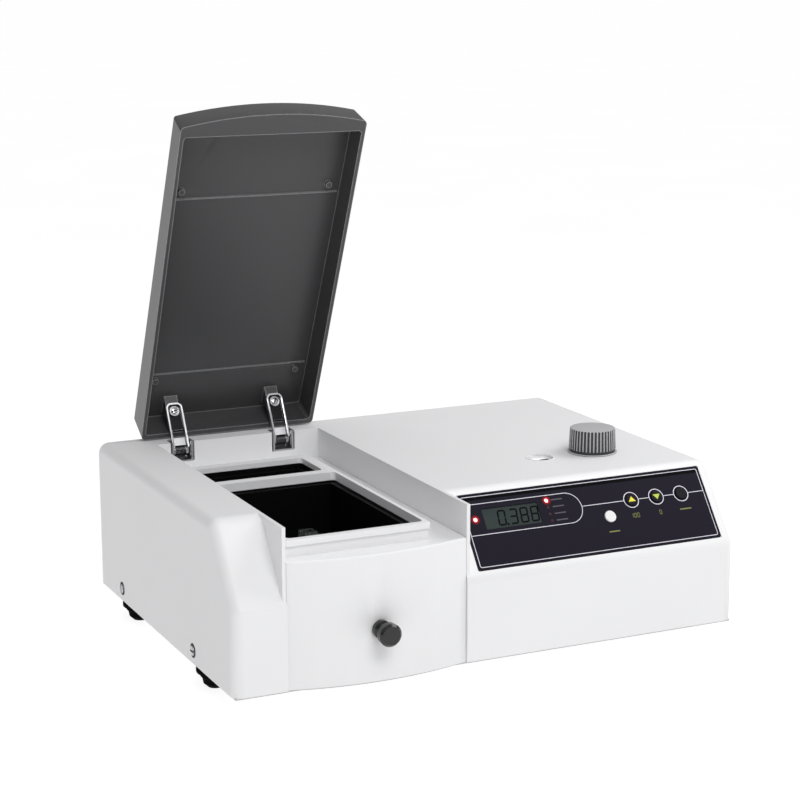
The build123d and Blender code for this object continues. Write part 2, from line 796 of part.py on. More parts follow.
# Lid: grey moulding, a shallow tray with a bowed front and drafted sides. Under its top are
# two wedges that the hinge arms are screwed to, two low ribs across and four short posts.
with BuildPart() as lid_blank:
    with BuildSketch():
        add(lid_outline(0, 0, 4))
    extrude(amount=lid_height_rear, taper=lid_draft)
    add(wedge_above(lid_height_rear, lid_height_front), mode=Mode.SUBTRACT)
    lid_top = lid_blank.faces().sort_by(Axis.Z)[-1]
    fillet(lid_top.edges(), radius=2.0)
    add(lid_hollow.part, mode=Mode.SUBTRACT)
    for share in lid_rib_shares:
        rib_s = share * lid_length
        box_between(
            lid_left + 2 * lid_wall, lid_right - 2 * lid_wall,
            -rib_s - lid_rib_half, -rib_s + lid_rib_half,
            lid_ceiling(rib_s) - lid_rib_height, lid_ceiling(rib_s) + lid_rib_height,
        )
    for share in lid_post_shares:
        post_s = share * lid_length
        with BuildSketch(Plane.XY.offset(lid_ceiling(post_s) - lid_post_height)):
            with Locations(
                (lid_left + lid_post_inset, -post_s),
                (lid_right - lid_post_inset, -post_s),
            ):
                Circle(lid_post_radius)
        extrude(amount=lid_post_height + lid_rib_height)
    for x in hinge_places.values():
        with BuildSketch(Plane.YZ.offset(x - boss_half)):
            boss_low = arm_point(boss_start, arm_depth)
            boss_high = arm_point(boss_end, arm_depth)
            with BuildLine():
                Polyline(boss_low, boss_high, (-boss_rear, boss_high[1]), close=True)
            make_face()
        extrude(amount=2 * boss_half)
        with BuildSketch(arm_plane.offset(-arm_depth)):
            with Locations((x, arm_screw)):
                Circle(arm_shank_radius + running)
        extrude(amount=-arm_shank_length - loose, mode=Mode.SUBTRACT)
with BuildPart() as lid_shell:
    add(lid_blank.part.moved(rim_plane.location))
lid_shell.part.label = "lid_shell"
export_step(lid_shell.part, "parts/lid_shell.step")

# Hinge brackets, links and arms, the same on both sides
ear_low_front = recess_back + hinge_sill + loose
ear_rear = fixed_pin_y + 2 * pin_radius
rivet_radius = 1.2
rivet_height = 0.4
rivet_inset = 2.6
arm_corner = 5.0
ear_corner = 2.0
for name, x in hinge_places.items():
    # bracket: a folded steel channel in the notch, its two ears flush with the wall and the
    # top, reaching back and down to the fixed pin
    with BuildPart() as hinge_bracket:
        box_between(
            x - ear_outer, x + ear_outer, recess_back, recess_back + hinge_sill,
            hinge_notch_floor, hinge_notch_floor + plate_thickness,
        )
        for side in (-1, 1):
            ear_middle = x + side * (ear_inner + ear_outer) / 2
            with BuildSketch(Plane.YZ.offset(ear_middle - plate_thickness / 2)) as ear:
                with BuildLine():
                    Polyline(
                        (recess_back, hinge_notch_floor),
                        (recess_back, cover_top),
                        (recess_back + hinge_notch_depth - loose, cover_top),
                        (recess_back + hinge_notch_depth - loose, cover_top - 2 * wall),
                        (ear_rear, fixed_pin_z + 2 * pin_radius),
                        (ear_rear, hinge_pocket_floor),
                        (ear_low_front, hinge_pocket_floor),
                        (ear_low_front, hinge_notch_floor),
                        close=True,
                    )
                make_face()
                fillet(ear.vertices().group_by(Axis.Y)[0].sort_by(Axis.Z)[-1], radius=ear_corner)
            extrude(amount=plate_thickness)
            for z in (hinge_notch_floor + 2 * rivet_inset, cover_top - rivet_inset):
                with BuildSketch(Plane.YZ.offset(x + side * ear_inner)):
                    with Locations((recess_back + rivet_inset, z)):
                        Circle(rivet_radius)
                extrude(amount=-side * rivet_height)
        with BuildSketch(Plane.YZ.offset(x - ear_outer)):
            with Locations((fixed_pin_y, fixed_pin_z)):
                Circle(pin_radius)
        extrude(amount=2 * ear_outer)
    hinge_bracket.part.label = f"hinge_bracket_{name}"
    export_step(hinge_bracket.part, f"parts/hinge_bracket_{name}.step")
    # link: a flat bar between the two pins, with the coiled spring round the lid pin
    with BuildPart() as hinge_link:
        with BuildSketch(Plane.YZ.offset(x - link_half)):
            with BuildLine():
                Line((fixed_pin_y, fixed_pin_z), (lid_pin_y, lid_pin_z))
            trace(line_width=link_width)
            with Locations((lid_pin_y, lid_pin_z)):
                Circle(spring_radius)
            with Locations((fixed_pin_y, fixed_pin_z)):
                Circle(link_radius)
        extrude(amount=2 * link_half)
        with BuildSketch(Plane.YZ.offset(x - link_half)):
            with Locations((fixed_pin_y, fixed_pin_z), (lid_pin_y, lid_pin_z)):
                Circle(pin_radius + running)
        extrude(amount=2 * link_half, mode=Mode.SUBTRACT)
    hinge_link.part.label = f"hinge_link_{name}"
    export_step(hinge_link.part, f"parts/hinge_link_{name}.step")
    # arm: a channel with a closed round top, screwed to the lid's wedge; below its web the two
    # cheeks reach back to the lid pin
    with BuildPart() as arm_blank:
        with BuildSketch(arm_plane) as arm_front:
            with Locations((x, arm_length / 2)):
                Rectangle(2 * arm_outer, arm_length)
            fillet(arm_front.vertices().group_by(Axis.Y)[-1], radius=arm_corner)
        extrude(amount=-arm_depth)
        channel_length = arm_length - plate_thickness
        with BuildSketch(arm_plane) as arm_channel:
            with Locations((x, channel_length / 2)):
                Rectangle(2 * arm_inner, channel_length)
            fillet(arm_channel.vertices().group_by(Axis.Y)[-1], radius=arm_corner - plate_thickness)
        extrude(amount=plate_thickness - arm_depth, mode=Mode.SUBTRACT)
        with BuildSketch(arm_plane):
            with Locations((x, arm_web_start / 2)):
                Rectangle(2 * arm_inner, arm_web_start)
        extrude(amount=-arm_depth, mode=Mode.SUBTRACT)
        for side in (-1, 1):
            cheek_middle = x + side * (arm_inner + arm_outer) / 2
            with BuildSketch(Plane.YZ.offset(cheek_middle - plate_thickness / 2)):
                with Locations((-lid_pin_s, lid_pin_u)):
                    Circle(spring_radius)
                with BuildLine():
                    Polyline(
                        *[arm_point(*place) for place in arm_cheek_rear],
                        (-lid_pin_s, lid_pin_u),
                        *[arm_point(*place) for place in arm_cheek_front],
                        close=True,
                    )
                make_face()
            extrude(amount=plate_thickness)
        with BuildSketch(Plane.YZ.offset(x - arm_outer)):
            with Locations((-lid_pin_s, lid_pin_u)):
                Circle(pin_radius)
        extrude(amount=2 * arm_outer)
        with BuildSketch(arm_plane.offset(plate_thickness - arm_depth)):
            with Locations((x, arm_screw)):
                Circle(arm_screw_radius)
        extrude(amount=arm_screw_height)
        with BuildSketch(arm_plane.offset(-arm_depth)):
            with Locations((x, arm_screw)):
                Circle(arm_shank_radius)
        extrude(amount=-arm_shank_length)
    with BuildPart() as hinge_arm:
        add(arm_blank.part.moved(rim_plane.location))
    hinge_arm.part.label = f"hinge_arm_{name}"
    export_step(hinge_arm.part, f"parts/hinge_arm_{name}.step")

# Panel overlay: one thin sheet in the pocket of the slope, open over the keys, the lamps
# and the display glass
overlay_thickness = 1.2
with BuildPart() as panel_overlay:
    with BuildSketch(slope_plane.offset(-panel_pocket)):
        with Locations(panel_middle):
            RectangleRounded(panel_width, panel_height, 2)
        with Locations(lcd_middle):
            Rectangle(lcd_width + 2 * loose, lcd_height + 2 * loose, mode=Mode.SUBTRACT)
        with Locations(*key_places.values()):
            Circle(key_radius + loose, mode=Mode.SUBTRACT)
        with Locations(*led_places):
            Circle(led_radius + loose, mode=Mode.SUBTRACT)
    extrude(amount=overlay_thickness)
panel_overlay.part.label = "panel_overlay"
export_step(panel_overlay.part, "parts/panel_overlay.step")

# Display board on the posts behind the slope, with a switch under each key
board_thickness = 1.6
display_board_height = 60.0
switch_height = 1.6
switch_width = 6.0
with BuildPart() as display_board:
    with BuildSketch(slope_plane.offset(-board_drop - board_thickness)):
        with Locations((panel_middle[0], 0)):
            Rectangle(panel_width - 2 * board_margin, display_board_height)
    extrude(amount=board_thickness)
    with BuildSketch(slope_plane.offset(-board_drop)):
        with Locations(*key_places.values()):
            Rectangle(switch_width, switch_width)
    extrude(amount=switch_height)
display_board.part.label = "display_board"
export_step(display_board.part, "parts/display_board.step")

# Display glass with its frame, and the two indicator lamps, both standing on the board
with BuildPart() as lcd_module:
    with BuildSketch(slope_plane.offset(-board_drop)):
        with Locations(lcd_middle):
            Rectangle(lcd_width, lcd_height)
    extrude(amount=board_drop - loose)
lcd_module.part.label = "lcd_module"
export_step(lcd_module.part, "parts/lcd_module.step")

with BuildPart() as indicator_leds:
    with BuildSketch(slope_plane.offset(-board_drop)):
        with Locations(*led_places):
            Circle(led_radius)
    extrude(amount=board_drop + loose)
indicator_leds.part.label = "indicator_leds"
export_step(indicator_leds.part, "parts/indicator_leds.step")

# Keys: round caps through the overlay, each over its switch
key_travel = 1.0
key_stand = 1.5
key_bottom = -board_drop + switch_height + key_travel + loose
for name, place in key_places.items():
    with BuildPart() as key:
        with BuildSketch(slope_plane.offset(key_bottom)):
            with Locations(place):
                Circle(key_radius)
        extrude(amount=key_stand - key_bottom)
        crown = key.faces().sort_by(Axis((0, 0, 0), slope_plane.z_dir))[-1]
        fillet(crown.edges(), radius=0.5)
    key.part.label = f"key_{name}"
    export_step(key.part, f"parts/key_{name}.step")

# Dial window: a bezel ring flush with the cover, and a clear lens in it
with BuildPart() as window_ring:
    with BuildSketch(Plane.XY.offset(cover_top - window_recess)):
        with Locations((window_x, drive_y)):
            Circle(window_radius + window_bezel)
            Circle(window_radius, mode=Mode.SUBTRACT)
    extrude(amount=window_recess + 0.4)
window_ring.part.label = "window_ring"
export_step(window_ring.part, "parts/window_ring.step")

with BuildPart() as window_lens:
    with BuildSketch(Plane.XY.offset(cover_top - window_recess)):
        with Locations((window_x, drive_y)):
            Circle(window_radius - running)
    extrude(amount=window_recess - 0.3)
window_lens.part.label = "window_lens"
export_step(window_lens.part, "parts/window_lens.step")

# Monochromator housing: a cast box on four feet on the base plate, with a lid plate. The
# light leaves through the snout on its left, and comes in from the lamp on its right.
housing_rise = 15.0
housing_height = 67.0
housing_wall = 4.0
housing_radius = 5.0
housing_lid = 3.0
housing_foot_radius = 7.0
housing_foot_inset = 12.0
snout_wall = 2.0
lamp_port_radius = 8.0
lamp_setback = 50.0
lamp_x1 = half_width - wall - lamp_side_gap
lamp_x0 = lamp_x1 - lamp_house_width
board_y1 = rear - wall - board_rear_gap
board_y0 = board_y1 - board_depth
housing_x0 = recess_right + housing_gap
housing_x1 = lamp_x0 - lamp_gap
housing_y0 = front + housing_setback
housing_y1 = board_y0 - board_gap
housing_bottom = cover_bottom + housing_rise
housing_top = housing_bottom + housing_height
lamp_y = housing_y1 - lamp_setback
with BuildPart() as monochromator_housing:
    box_between(housing_x0, housing_x1, housing_y0, housing_y1, housing_bottom, housing_top)
    upright = monochromator_housing.edges().filter_by(Axis.Z)
    fillet(upright, radius=housing_radius)
    top_face = monochromator_housing.faces().sort_by(Axis.Z)[-1]
    offset(amount=-housing_wall, openings=top_face)
    for x in (housing_x0 + housing_foot_inset, housing_x1 - housing_foot_inset):
        for y in (housing_y0 + housing_foot_inset, housing_y1 - housing_foot_inset):
            with BuildSketch(Plane.XY.offset(cover_bottom)):
                with Locations((x, y)):
                    Circle(housing_foot_radius)
            extrude(amount=housing_rise)
    snout_tip = front_x1 - ledge
    with BuildSketch(Plane.YZ.offset(snout_tip)):
        with Locations((beam_y, beam_z)):
            Circle(snout_radius)
    extrude(amount=housing_x0 - snout_tip)
    with BuildSketch(Plane.YZ.offset(snout_tip)):
        with Locations((beam_y, beam_z)):
            Circle(snout_radius - snout_wall)
    extrude(amount=housing_x0 - snout_tip + housing_wall, mode=Mode.SUBTRACT)
    with BuildSketch(Plane.YZ.offset(housing_x1 - housing_wall)):
        with Locations((lamp_y, beam_z)):
            Circle(lamp_port_radius)
    extrude(amount=housing_wall, mode=Mode.SUBTRACT)
monochromator_housing.part.label = "monochromator_housing"
export_step(monochromator_housing.part, "parts/monochromator_housing.step")

grating_x = housing_x0 + (housing_x1 - housing_x0) / 3
grating_y = lamp_y
with BuildPart() as monochromator_lid:
    with BuildSketch(Plane.XY.offset(housing_top)):
        with Locations(((housing_x0 + housing_x1) / 2, (housing_y0 + housing_y1) / 2)):
            RectangleRounded(housing_x1 - housing_x0, housing_y1 - housing_y0, housing_radius)
        with Locations((grating_x, grating_y)):
            Circle(shaft_radius + running, mode=Mode.SUBTRACT)
    extrude(amount=housing_lid)
monochromator_lid.part.label = "monochromator_lid"
export_step(monochromator_lid.part, "parts/monochromator_lid.step")

# Grating table: a round table on a shaft through the housing's lid, with the ruled block
# upright on it
table_radius = 20.0
table_thickness = 6.0
table_shaft_over = 6.0
table_z = housing_bottom + housing_wall + loose
with BuildPart() as grating_table:
    with BuildSketch(Plane.XY.offset(table_z)):
        with Locations((grating_x, grating_y)):
            Circle(table_radius)
    extrude(amount=table_thickness)
    with BuildSketch(Plane.XY.offset(table_z)):
        with Locations((grating_x, grating_y)):
            Circle(shaft_radius)
    extrude(amount=housing_top + housing_lid + table_shaft_over - table_z)
grating_table.part.label = "grating_table"
export_step(grating_table.part, "parts/grating_table.step")

grating_width = 24.0
grating_height = 26.0
grating_thickness = 7.0
grating_back = 5.0
with BuildPart() as grating:
    box_between(
        grating_x - grating_width / 2, grating_x + grating_width / 2,
        grating_y - grating_back - grating_thickness, grating_y - grating_back,
        table_z + table_thickness, table_z + table_thickness + grating_height,
    )
grating.part.label = "grating"
export_step(grating.part, "parts/grating.step")

# Collimating mirror: a thick round mirror in a foot at the right end of the housing
mirror_radius = 20.0
mirror_thickness = 8.0
mirror_gap = 6.0
mirror_foot_width = 28.0
mirror_foot_grip = 12.0
mirror_foot_edge = 2.0
mirror_shift = 2.0
mirror_y = beam_y + mirror_shift
mirror_x1 = housing_x1 - housing_wall - mirror_gap
mirror_x0 = mirror_x1 - mirror_thickness
with BuildPart() as collimating_mirror:
    with BuildSketch(Plane.YZ.offset(mirror_x0)):
        with Locations((mirror_y, beam_z)):
            Circle(mirror_radius)
    extrude(amount=mirror_thickness)
    box_between(
        mirror_x0 - mirror_foot_edge, mirror_x1 + mirror_foot_edge,
        mirror_y - mirror_foot_width / 2, mirror_y + mirror_foot_width / 2,
        housing_bottom + housing_wall, beam_z - mirror_foot_grip,
    )
collimating_mirror.part.label = "collimating_mirror"
export_step(collimating_mirror.part, "parts/collimating_mirror.step")

# Gear plate: carries the dial's pin and the lower end of the knob's shaft, on four posts
gear_plate_rise = 12.0
gear_plate_thickness = 2.0
gear_plate_radius = 4.0
gear_plate_left_gap = 1.6
gear_plate_overhang = 20.3
gear_plate_rear_reach = 30.0
gear_post_inset = 10.0
gear_post_radius = 4.0
gear_module = 1.5
dial_teeth = 60
pinion_teeth = 16
dial_bearing = 145.0
dial_drop = 5.8
dial_pin_short = 1.0
gear_plate_z = housing_top + housing_lid + gear_plate_rise
gear_distance = gear_module * (dial_teeth + pinion_teeth) / 2
dial_x = knob_x + gear_distance * cos(radians(dial_bearing))
dial_y = drive_y + gear_distance * sin(radians(dial_bearing))
dial_disc_z = cover_top - wall - dial_drop
gear_plate_x0 = grating_x + gear_plate_left_gap
gear_plate_x1 = knob_x + gear_plate_overhang
gear_plate_y0 = drive_y - gear_plate_overhang
gear_plate_y1 = dial_y + gear_plate_rear_reach
with BuildPart() as gear_plate:
    with BuildSketch(Plane.XY.offset(gear_plate_z)):
        with Locations(((gear_plate_x0 + gear_plate_x1) / 2, (gear_plate_y0 + gear_plate_y1) / 2)):
            RectangleRounded(gear_plate_x1 - gear_plate_x0, gear_plate_y1 - gear_plate_y0, gear_plate_radius)
        with Locations((knob_x, drive_y)):
            Circle(shaft_radius + running, mode=Mode.SUBTRACT)
    extrude(amount=gear_plate_thickness)
    for x in (gear_plate_x0 + gear_post_inset, housing_x1 - gear_post_inset):
        for y in (gear_plate_y0 + gear_post_inset, gear_plate_y1 - gear_post_inset):
            with BuildSketch(Plane.XY.offset(housing_top + housing_lid)):
                with Locations((x, y)):
                    Circle(gear_post_radius)
            extrude(amount=gear_plate_rise)
    with BuildSketch(Plane.XY.offset(gear_plate_z)):
        with Locations((dial_x, dial_y)):
            Circle(shaft_radius)
    extrude(amount=dial_disc_z - dial_pin_short - gear_plate_z)
gear_plate.part.label = "gear_plate"
export_step(gear_plate.part, "parts/gear_plate.step")


def gear_outline(centre, teeth, phase):
    """Spur gear with straight-sided teeth that leave room for their partners."""
    addendum = 0.85 * gear_module
    dedendum = 1.3 * gear_module
    tooth_width = 0.56 * pi * gear_module
    tooth_side = 74
    sink = 0.2
    pitch_radius = gear_module * teeth / 2
    with BuildSketch() as outline:
        with Locations(centre):
            Circle(pitch_radius - dedendum)
            middle = pitch_radius + (addendum - dedendum) / 2 - sink
            with PolarLocations(middle, teeth, start_angle=phase):
                Trapezoid(tooth_width, addendum + dedendum + 2 * sink, tooth_side, rotation=-90)
    return outline.sketch


gear_bottom = gear_plate_z + gear_plate_thickness + loose
gear_thickness = 4.0
gear_hub_radius = 8.0
with BuildPart() as dial_gear:
    with BuildSketch(Plane.XY.offset(gear_bottom)):
        add(gear_outline((dial_x, dial_y), dial_teeth, dial_bearing - 180))
    extrude(amount=gear_thickness)
    with BuildSketch(Plane.XY.offset(gear_bottom)):
        with Locations((dial_x, dial_y)):
            Circle(gear_hub_radius)
    extrude(amount=dial_disc_z - gear_bottom)
    with BuildSketch(Plane.XY.offset(gear_bottom)):
        with Locations((dial_x, dial_y)):
            Circle(shaft_radius + running)
    extrude(amount=dial_disc_z - gear_bottom, mode=Mode.SUBTRACT)
dial_gear.part.label = "dial_gear"
export_step(dial_gear.part, "parts/dial_gear.step")

dial_disc_radius = 44.0
dial_disc_thickness = 1.2
with BuildPart() as dial_disc:
    with BuildSketch(Plane.XY.offset(dial_disc_z)):
        with Locations((dial_x, dial_y)):
            Circle(dial_disc_radius)
    extrude(amount=dial_disc_thickness)
dial_disc.part.label = "dial_disc"
export_step(dial_disc.part, "parts/dial_disc.step")

# Knob shaft with its pinion, one turned and cut piece
knob_gap = 0.3
knob_bore = 16.0
shaft_over = 2.0
pinion_extra = 1.0
knob_bottom = cover_top + knob_gap
with BuildPart() as knob_shaft:
    with BuildSketch(Plane.XY.offset(gear_plate_z - shaft_over)):
        with Locations((knob_x, drive_y)):
            Circle(shaft_radius)
    extrude(amount=knob_bottom + knob_bore - gear_plate_z + shaft_over)
    with BuildSketch(Plane.XY.offset(gear_bottom)):
        add(gear_outline((knob_x, drive_y), pinion_teeth, dial_bearing + 180 / pinion_teeth))
    extrude(amount=gear_thickness + pinion_extra)
knob_shaft.part.label = "knob_shaft"
export_step(knob_shaft.part, "parts/knob_shaft.step")

# Bush of the knob's shaft: flanged under the cover, flush above it
bush_rim = 3.0
bush_rim_thickness = 2.0
with BuildPart() as knob_bush:
    with BuildSketch(Plane.XY.offset(cover_top - wall - bush_rim_thickness)):
        with Locations((knob_x, drive_y)):
            Circle(bush_radius + bush_rim)
    extrude(amount=bush_rim_thickness)
    with BuildSketch(Plane.XY.offset(cover_top - wall)):
        with Locations((knob_x, drive_y)):
            Circle(bush_radius)
    extrude(amount=wall)
    with BuildSketch(Plane.XY.offset(cover_top - wall - bush_rim_thickness)):
        with Locations((knob_x, drive_y)):
            Circle(shaft_radius + running)
    extrude(amount=wall + bush_rim_thickness, mode=Mode.SUBTRACT)
knob_bush.part.label = "knob_bush"
export_step(knob_bush.part, "parts/knob_bush.step")

# Wavelength knob: a ridged grip, drawn in over a plain base ring that stands a little wider
flute_count = 30
flute_radius = 1.3
base_ring = 1.4
base_reach = 0.9
neck_height = 1.6
neck_depth = 1.4
grip_draw = 0.7
crown_bevel = 1.2
crown_rise = 0.5
grip_bottom = knob_bottom + base_ring + neck_height
grip_top = knob_bottom + knob_height
with BuildPart() as wavelength_knob:
    with BuildSketch(Plane.XZ.offset(-drive_y)):
        with BuildLine():
            Polyline(
                (knob_x, knob_bottom),
                (knob_x + knob_radius + base_reach, knob_bottom),
                (knob_x + knob_radius + base_reach, knob_bottom + base_ring),
                (knob_x + knob_radius - neck_depth, knob_bottom + base_ring),
                (knob_x + knob_radius - neck_depth, grip_bottom),
                (knob_x + knob_radius, grip_bottom),
                (knob_x + knob_radius - grip_draw, grip_top - crown_rise - crown_bevel),
                (knob_x + knob_radius - grip_draw - crown_bevel, grip_top - crown_rise),
                (knob_x, grip_top),
                close=True,
            )
        make_face()
    revolve(axis=Axis((knob_x, drive_y, 0), (0, 0, 1)))
    with BuildSketch(Plane.XY.offset(grip_bottom)):
        with Locations((knob_x, drive_y)):
            with PolarLocations(knob_radius, flute_count):
                Circle(flute_radius)
    extrude(amount=grip_top - crown_rise - crown_bevel / 2 - grip_bottom, mode=Mode.SUBTRACT)
    with BuildSketch(Plane.XY.offset(knob_bottom)):
        with Locations((knob_x, drive_y)):
            Circle(shaft_radius + running)
    extrude(amount=knob_bore, mode=Mode.SUBTRACT)
wavelength_knob.part.label = "wavelength_knob"
export_step(wavelength_knob.part, "parts/wavelength_knob.step")

# Lamp house: an upright steel box beside the monochromator, open at the top for cooling,
# with the lamp on its socket inside
lamp_house_depth = 70.0
lamp_house_height = 85.0
lamp_house_sheet = 1.5
lamp_socket_width = 20.0
lamp_socket_depth = 24.0
lamp_socket_radius = 3.0
lamp_drop = 12.0
bulb_radius = 5.5
bulb_height = 22.0
bulb_crown = 5.0
with BuildPart() as lamp_house:
    box_between(
        lamp_x0, lamp_x1,
        lamp_y - lamp_house_depth / 2, lamp_y + lamp_house_depth / 2,
        cover_bottom, cover_bottom + lamp_house_height,
    )
    house_top = lamp_house.faces().sort_by(Axis.Z)[-1]
    offset(amount=-lamp_house_sheet, openings=house_top)
    with BuildSketch(Plane.YZ.offset(lamp_x0)):
        with Locations((lamp_y, beam_z)):
            Circle(lamp_port_radius)
    extrude(amount=lamp_house_sheet, mode=Mode.SUBTRACT)
lamp_house.part.label = "lamp_house"
export_step(lamp_house.part, "parts/lamp_house.step")

lamp_x = (lamp_x0 + lamp_x1) / 2
lamp_base_z = beam_z - lamp_drop
with BuildPart() as lamp_socket:
    with BuildSketch(Plane.XY.offset(cover_bottom + lamp_house_sheet)):
        with Locations((lamp_x, lamp_y)):
            RectangleRounded(lamp_socket_width, lamp_socket_depth, lamp_socket_radius)
    extrude(amount=lamp_base_z - cover_bottom - lamp_house_sheet)
lamp_socket.part.label = "lamp_socket"
export_step(lamp_socket.part, "parts/lamp_socket.step")

with BuildPart() as lamp_bulb:
    with BuildSketch(Plane.XY.offset(lamp_base_z)):
        with Locations((lamp_x, lamp_y)):
            Circle(bulb_radius)
    extrude(amount=bulb_height)
    bulb_tip = lamp_bulb.edges().filter_by(GeomType.CIRCLE).sort_by(Axis.Z)[-1]
    fillet(bulb_tip, radius=bulb_crown)
lamp_bulb.part.label = "lamp_bulb"
export_step(lamp_bulb.part, "parts/lamp_bulb.step")

# Detector housing in the left wing, with the photodiode behind its snout
detector_side_gap = 7.0
detector_cheek_gap = 1.5
detector_half_depth = 16.0
detector_height = 22.0
detector_bore = 18.0
photodiode_radius = 4.2
photodiode_length = 5.0
detector_x0 = -half_width + wall + detector_side_gap
detector_x1 = recess_left - cheek - detector_cheek_gap
with BuildPart() as detector_housing:
    box_between(
        detector_x0, detector_x1, beam_y - detector_half_depth, beam_y + detector_half_depth,
        cover_bottom, beam_z + detector_height,
    )
    snout_end = front_x0 + ledge
    with BuildSketch(Plane.YZ.offset(detector_x1)):
        with Locations((beam_y, beam_z)):
            Circle(snout_radius)
    extrude(amount=snout_end - detector_x1)
    with BuildSketch(Plane.YZ.offset(detector_x1 - detector_bore)):
        with Locations((beam_y, beam_z)):
            Circle(snout_radius - snout_wall)
    extrude(amount=snout_end - detector_x1 + detector_bore, mode=Mode.SUBTRACT)
detector_housing.part.label = "detector_housing"
export_step(detector_housing.part, "parts/detector_housing.step")

with BuildPart() as photodiode:
    with BuildSketch(Plane.YZ.offset(detector_x1 - detector_bore)):
        with Locations((beam_y, beam_z)):
            Circle(photodiode_radius)
    extrude(amount=photodiode_length)
photodiode.part.label = "photodiode"
export_step(photodiode.part, "parts/photodiode.step")

# Transformer: stacked core with a winding through it, on the base plate
core_depth = 30.0
core_height = 55.0
core_setback = 69.0
coil_grow = 9.0
coil_radius = 4.0
core_x = recess_right + transformer_gap + core_width / 2
core_y = rear - core_setback
core_z = cover_bottom + core_height / 2
core_window = (core_width / 6, core_height * 0.6)
with BuildPart() as transformer_core:
    with BuildSketch(Plane.XZ.offset(-core_y - core_depth / 2)):
        with Locations((core_x, core_z)):
            Rectangle(core_width, core_height)
        with Locations((core_x - core_width / 4, core_z), (core_x + core_width / 4, core_z)):
            Rectangle(*core_window, mode=Mode.SUBTRACT)
    extrude(amount=core_depth)
transformer_core.part.label = "transformer_core"
export_step(transformer_core.part, "parts/transformer_core.step")

with BuildPart() as transformer_coil:
    with BuildSketch(Plane.XY.offset(core_z - core_window[1] / 2 + loose)):
        with Locations((core_x, core_y)):
            RectangleRounded(core_width * 2 / 3 - 2 * loose, core_depth + 2 * coil_grow, coil_radius)
            Rectangle(core_width / 3 + 2 * loose, core_depth + 2 * loose, mode=Mode.SUBTRACT)
    extrude(amount=core_window[1] - 2 * loose)
transformer_coil.part.label = "transformer_coil"
export_step(transformer_coil.part, "parts/transformer_coil.step")

# Main board on four posts, with two large capacitors and a smaller one
board_rise = 8.0
board_core_gap = 17.0
board_post_inset = 7.0
capacitor_setback = 20.0
capacitors = ((-1 / 3, 9.0, 25.0), (-1 / 8, 9.0, 25.0), (1 / 12, 6.0, 18.0))
board_z = cover_bottom + board_rise
board_x0 = core_x + core_width / 2 + board_core_gap
board_x1 = half_width - wall - board_side_gap
board_x = (board_x0 + board_x1) / 2
board_y = (board_y0 + board_y1) / 2
board_width = board_x1 - board_x0
with BuildPart() as main_board:
    with BuildSketch(Plane.XY.offset(board_z)):
        with Locations((board_x, board_y)):
            Rectangle(board_width, board_depth)
    extrude(amount=board_thickness)
    with BuildSketch(Plane.XY.offset(cover_bottom)):
        with Locations((board_x, board_y)):
            with GridLocations(board_width - 2 * board_post_inset, board_depth - 2 * board_post_inset, 2, 2):
                Circle(post_radius)
    extrude(amount=board_rise)
    for share, radius, height in capacitors:
        with BuildSketch(Plane.XY.offset(board_z + board_thickness)):
            with Locations((board_x + share * board_width, board_y - capacitor_setback)):
                Circle(radius)
        extrude(amount=height)
main_board.part.label = "main_board"
export_step(main_board.part, "parts/main_board.step")

# Rear panel with the mains inlet, the fuse holder and the power switch
inlet_width = 27.0
inlet_height = 20.0
fuse_radius = 6.5
rocker_width = 13.0
frame_wall = 1.7
inlet_x = rear_panel_x - 0.32 * rear_panel_width
fuse_x = rear_panel_x - 0.08 * rear_panel_width
power_x = rear_panel_x + 0.187 * rear_panel_width
with BuildPart() as rear_panel:
    with BuildSketch(Plane.XZ.offset(-rear)):
        with Locations((rear_panel_x, rear_panel_z)):
            RectangleRounded(rear_panel_width, rear_panel_height, 2)
        with Locations((inlet_x, rear_panel_z)):
            Rectangle(inlet_width + 2 * loose, inlet_height + 2 * loose, mode=Mode.SUBTRACT)
        with Locations((fuse_x, rear_panel_z)):
            Circle(fuse_radius + loose, mode=Mode.SUBTRACT)
        with Locations((power_x, rear_panel_z)):
            Rectangle(
                rocker_width + 2 * (frame_wall + loose),
                rocker_height + 2 * (frame_wall + loose),
                mode=Mode.SUBTRACT,
            )
    extrude(amount=-rear_panel_thickness)
rear_panel.part.label = "rear_panel"
export_step(rear_panel.part, "parts/rear_panel.step")

rear_face = rear + rear_panel_thickness
inlet_depth = 20.0
inlet_flange = 1.0
inlet_flange_side = 4.0
inlet_flange_over = 2.0
mouth_width = 23.0
mouth_height = 16.0
mouth_chamfer = 4.0
mouth_depth = 16.0
contact_length = 14.0
contact_short = 3.0
contact_half = (1.0, 2.0)
contact_spread = 7.0
with BuildPart() as mains_inlet:
    box_between(
        inlet_x - inlet_width / 2, inlet_x + inlet_width / 2, rear_face - inlet_depth, rear_face,
        rear_panel_z - inlet_height / 2, rear_panel_z + inlet_height / 2,
    )
    box_between(
        inlet_x - inlet_width / 2 - inlet_flange_side, inlet_x + inlet_width / 2 + inlet_flange_side,
        rear_face, rear_face + inlet_flange,
        rear_panel_z - inlet_height / 2 - inlet_flange_over,
        rear_panel_z + inlet_height / 2 + inlet_flange_over,
    )
    with BuildSketch(Plane.XZ.offset(-rear_face - inlet_flange)) as inlet_mouth:
        with Locations((inlet_x, rear_panel_z)):
            Rectangle(mouth_width, mouth_height)
        chamfer(inlet_mouth.vertices().group_by(Axis.Z)[-1], length=mouth_chamfer)
    extrude(amount=mouth_depth, mode=Mode.SUBTRACT)
    contact_low = -contact_half[1]
    contact_high = contact_half[1]
    for dx, dz in ((-contact_spread, contact_low), (contact_spread, contact_low), (0, contact_high)):
        box_between(
            inlet_x + dx - contact_half[0], inlet_x + dx + contact_half[0],
            rear_face - contact_short - contact_length, rear_face - contact_short,
            rear_panel_z + dz - contact_half[1], rear_panel_z + dz + contact_half[1],
        )
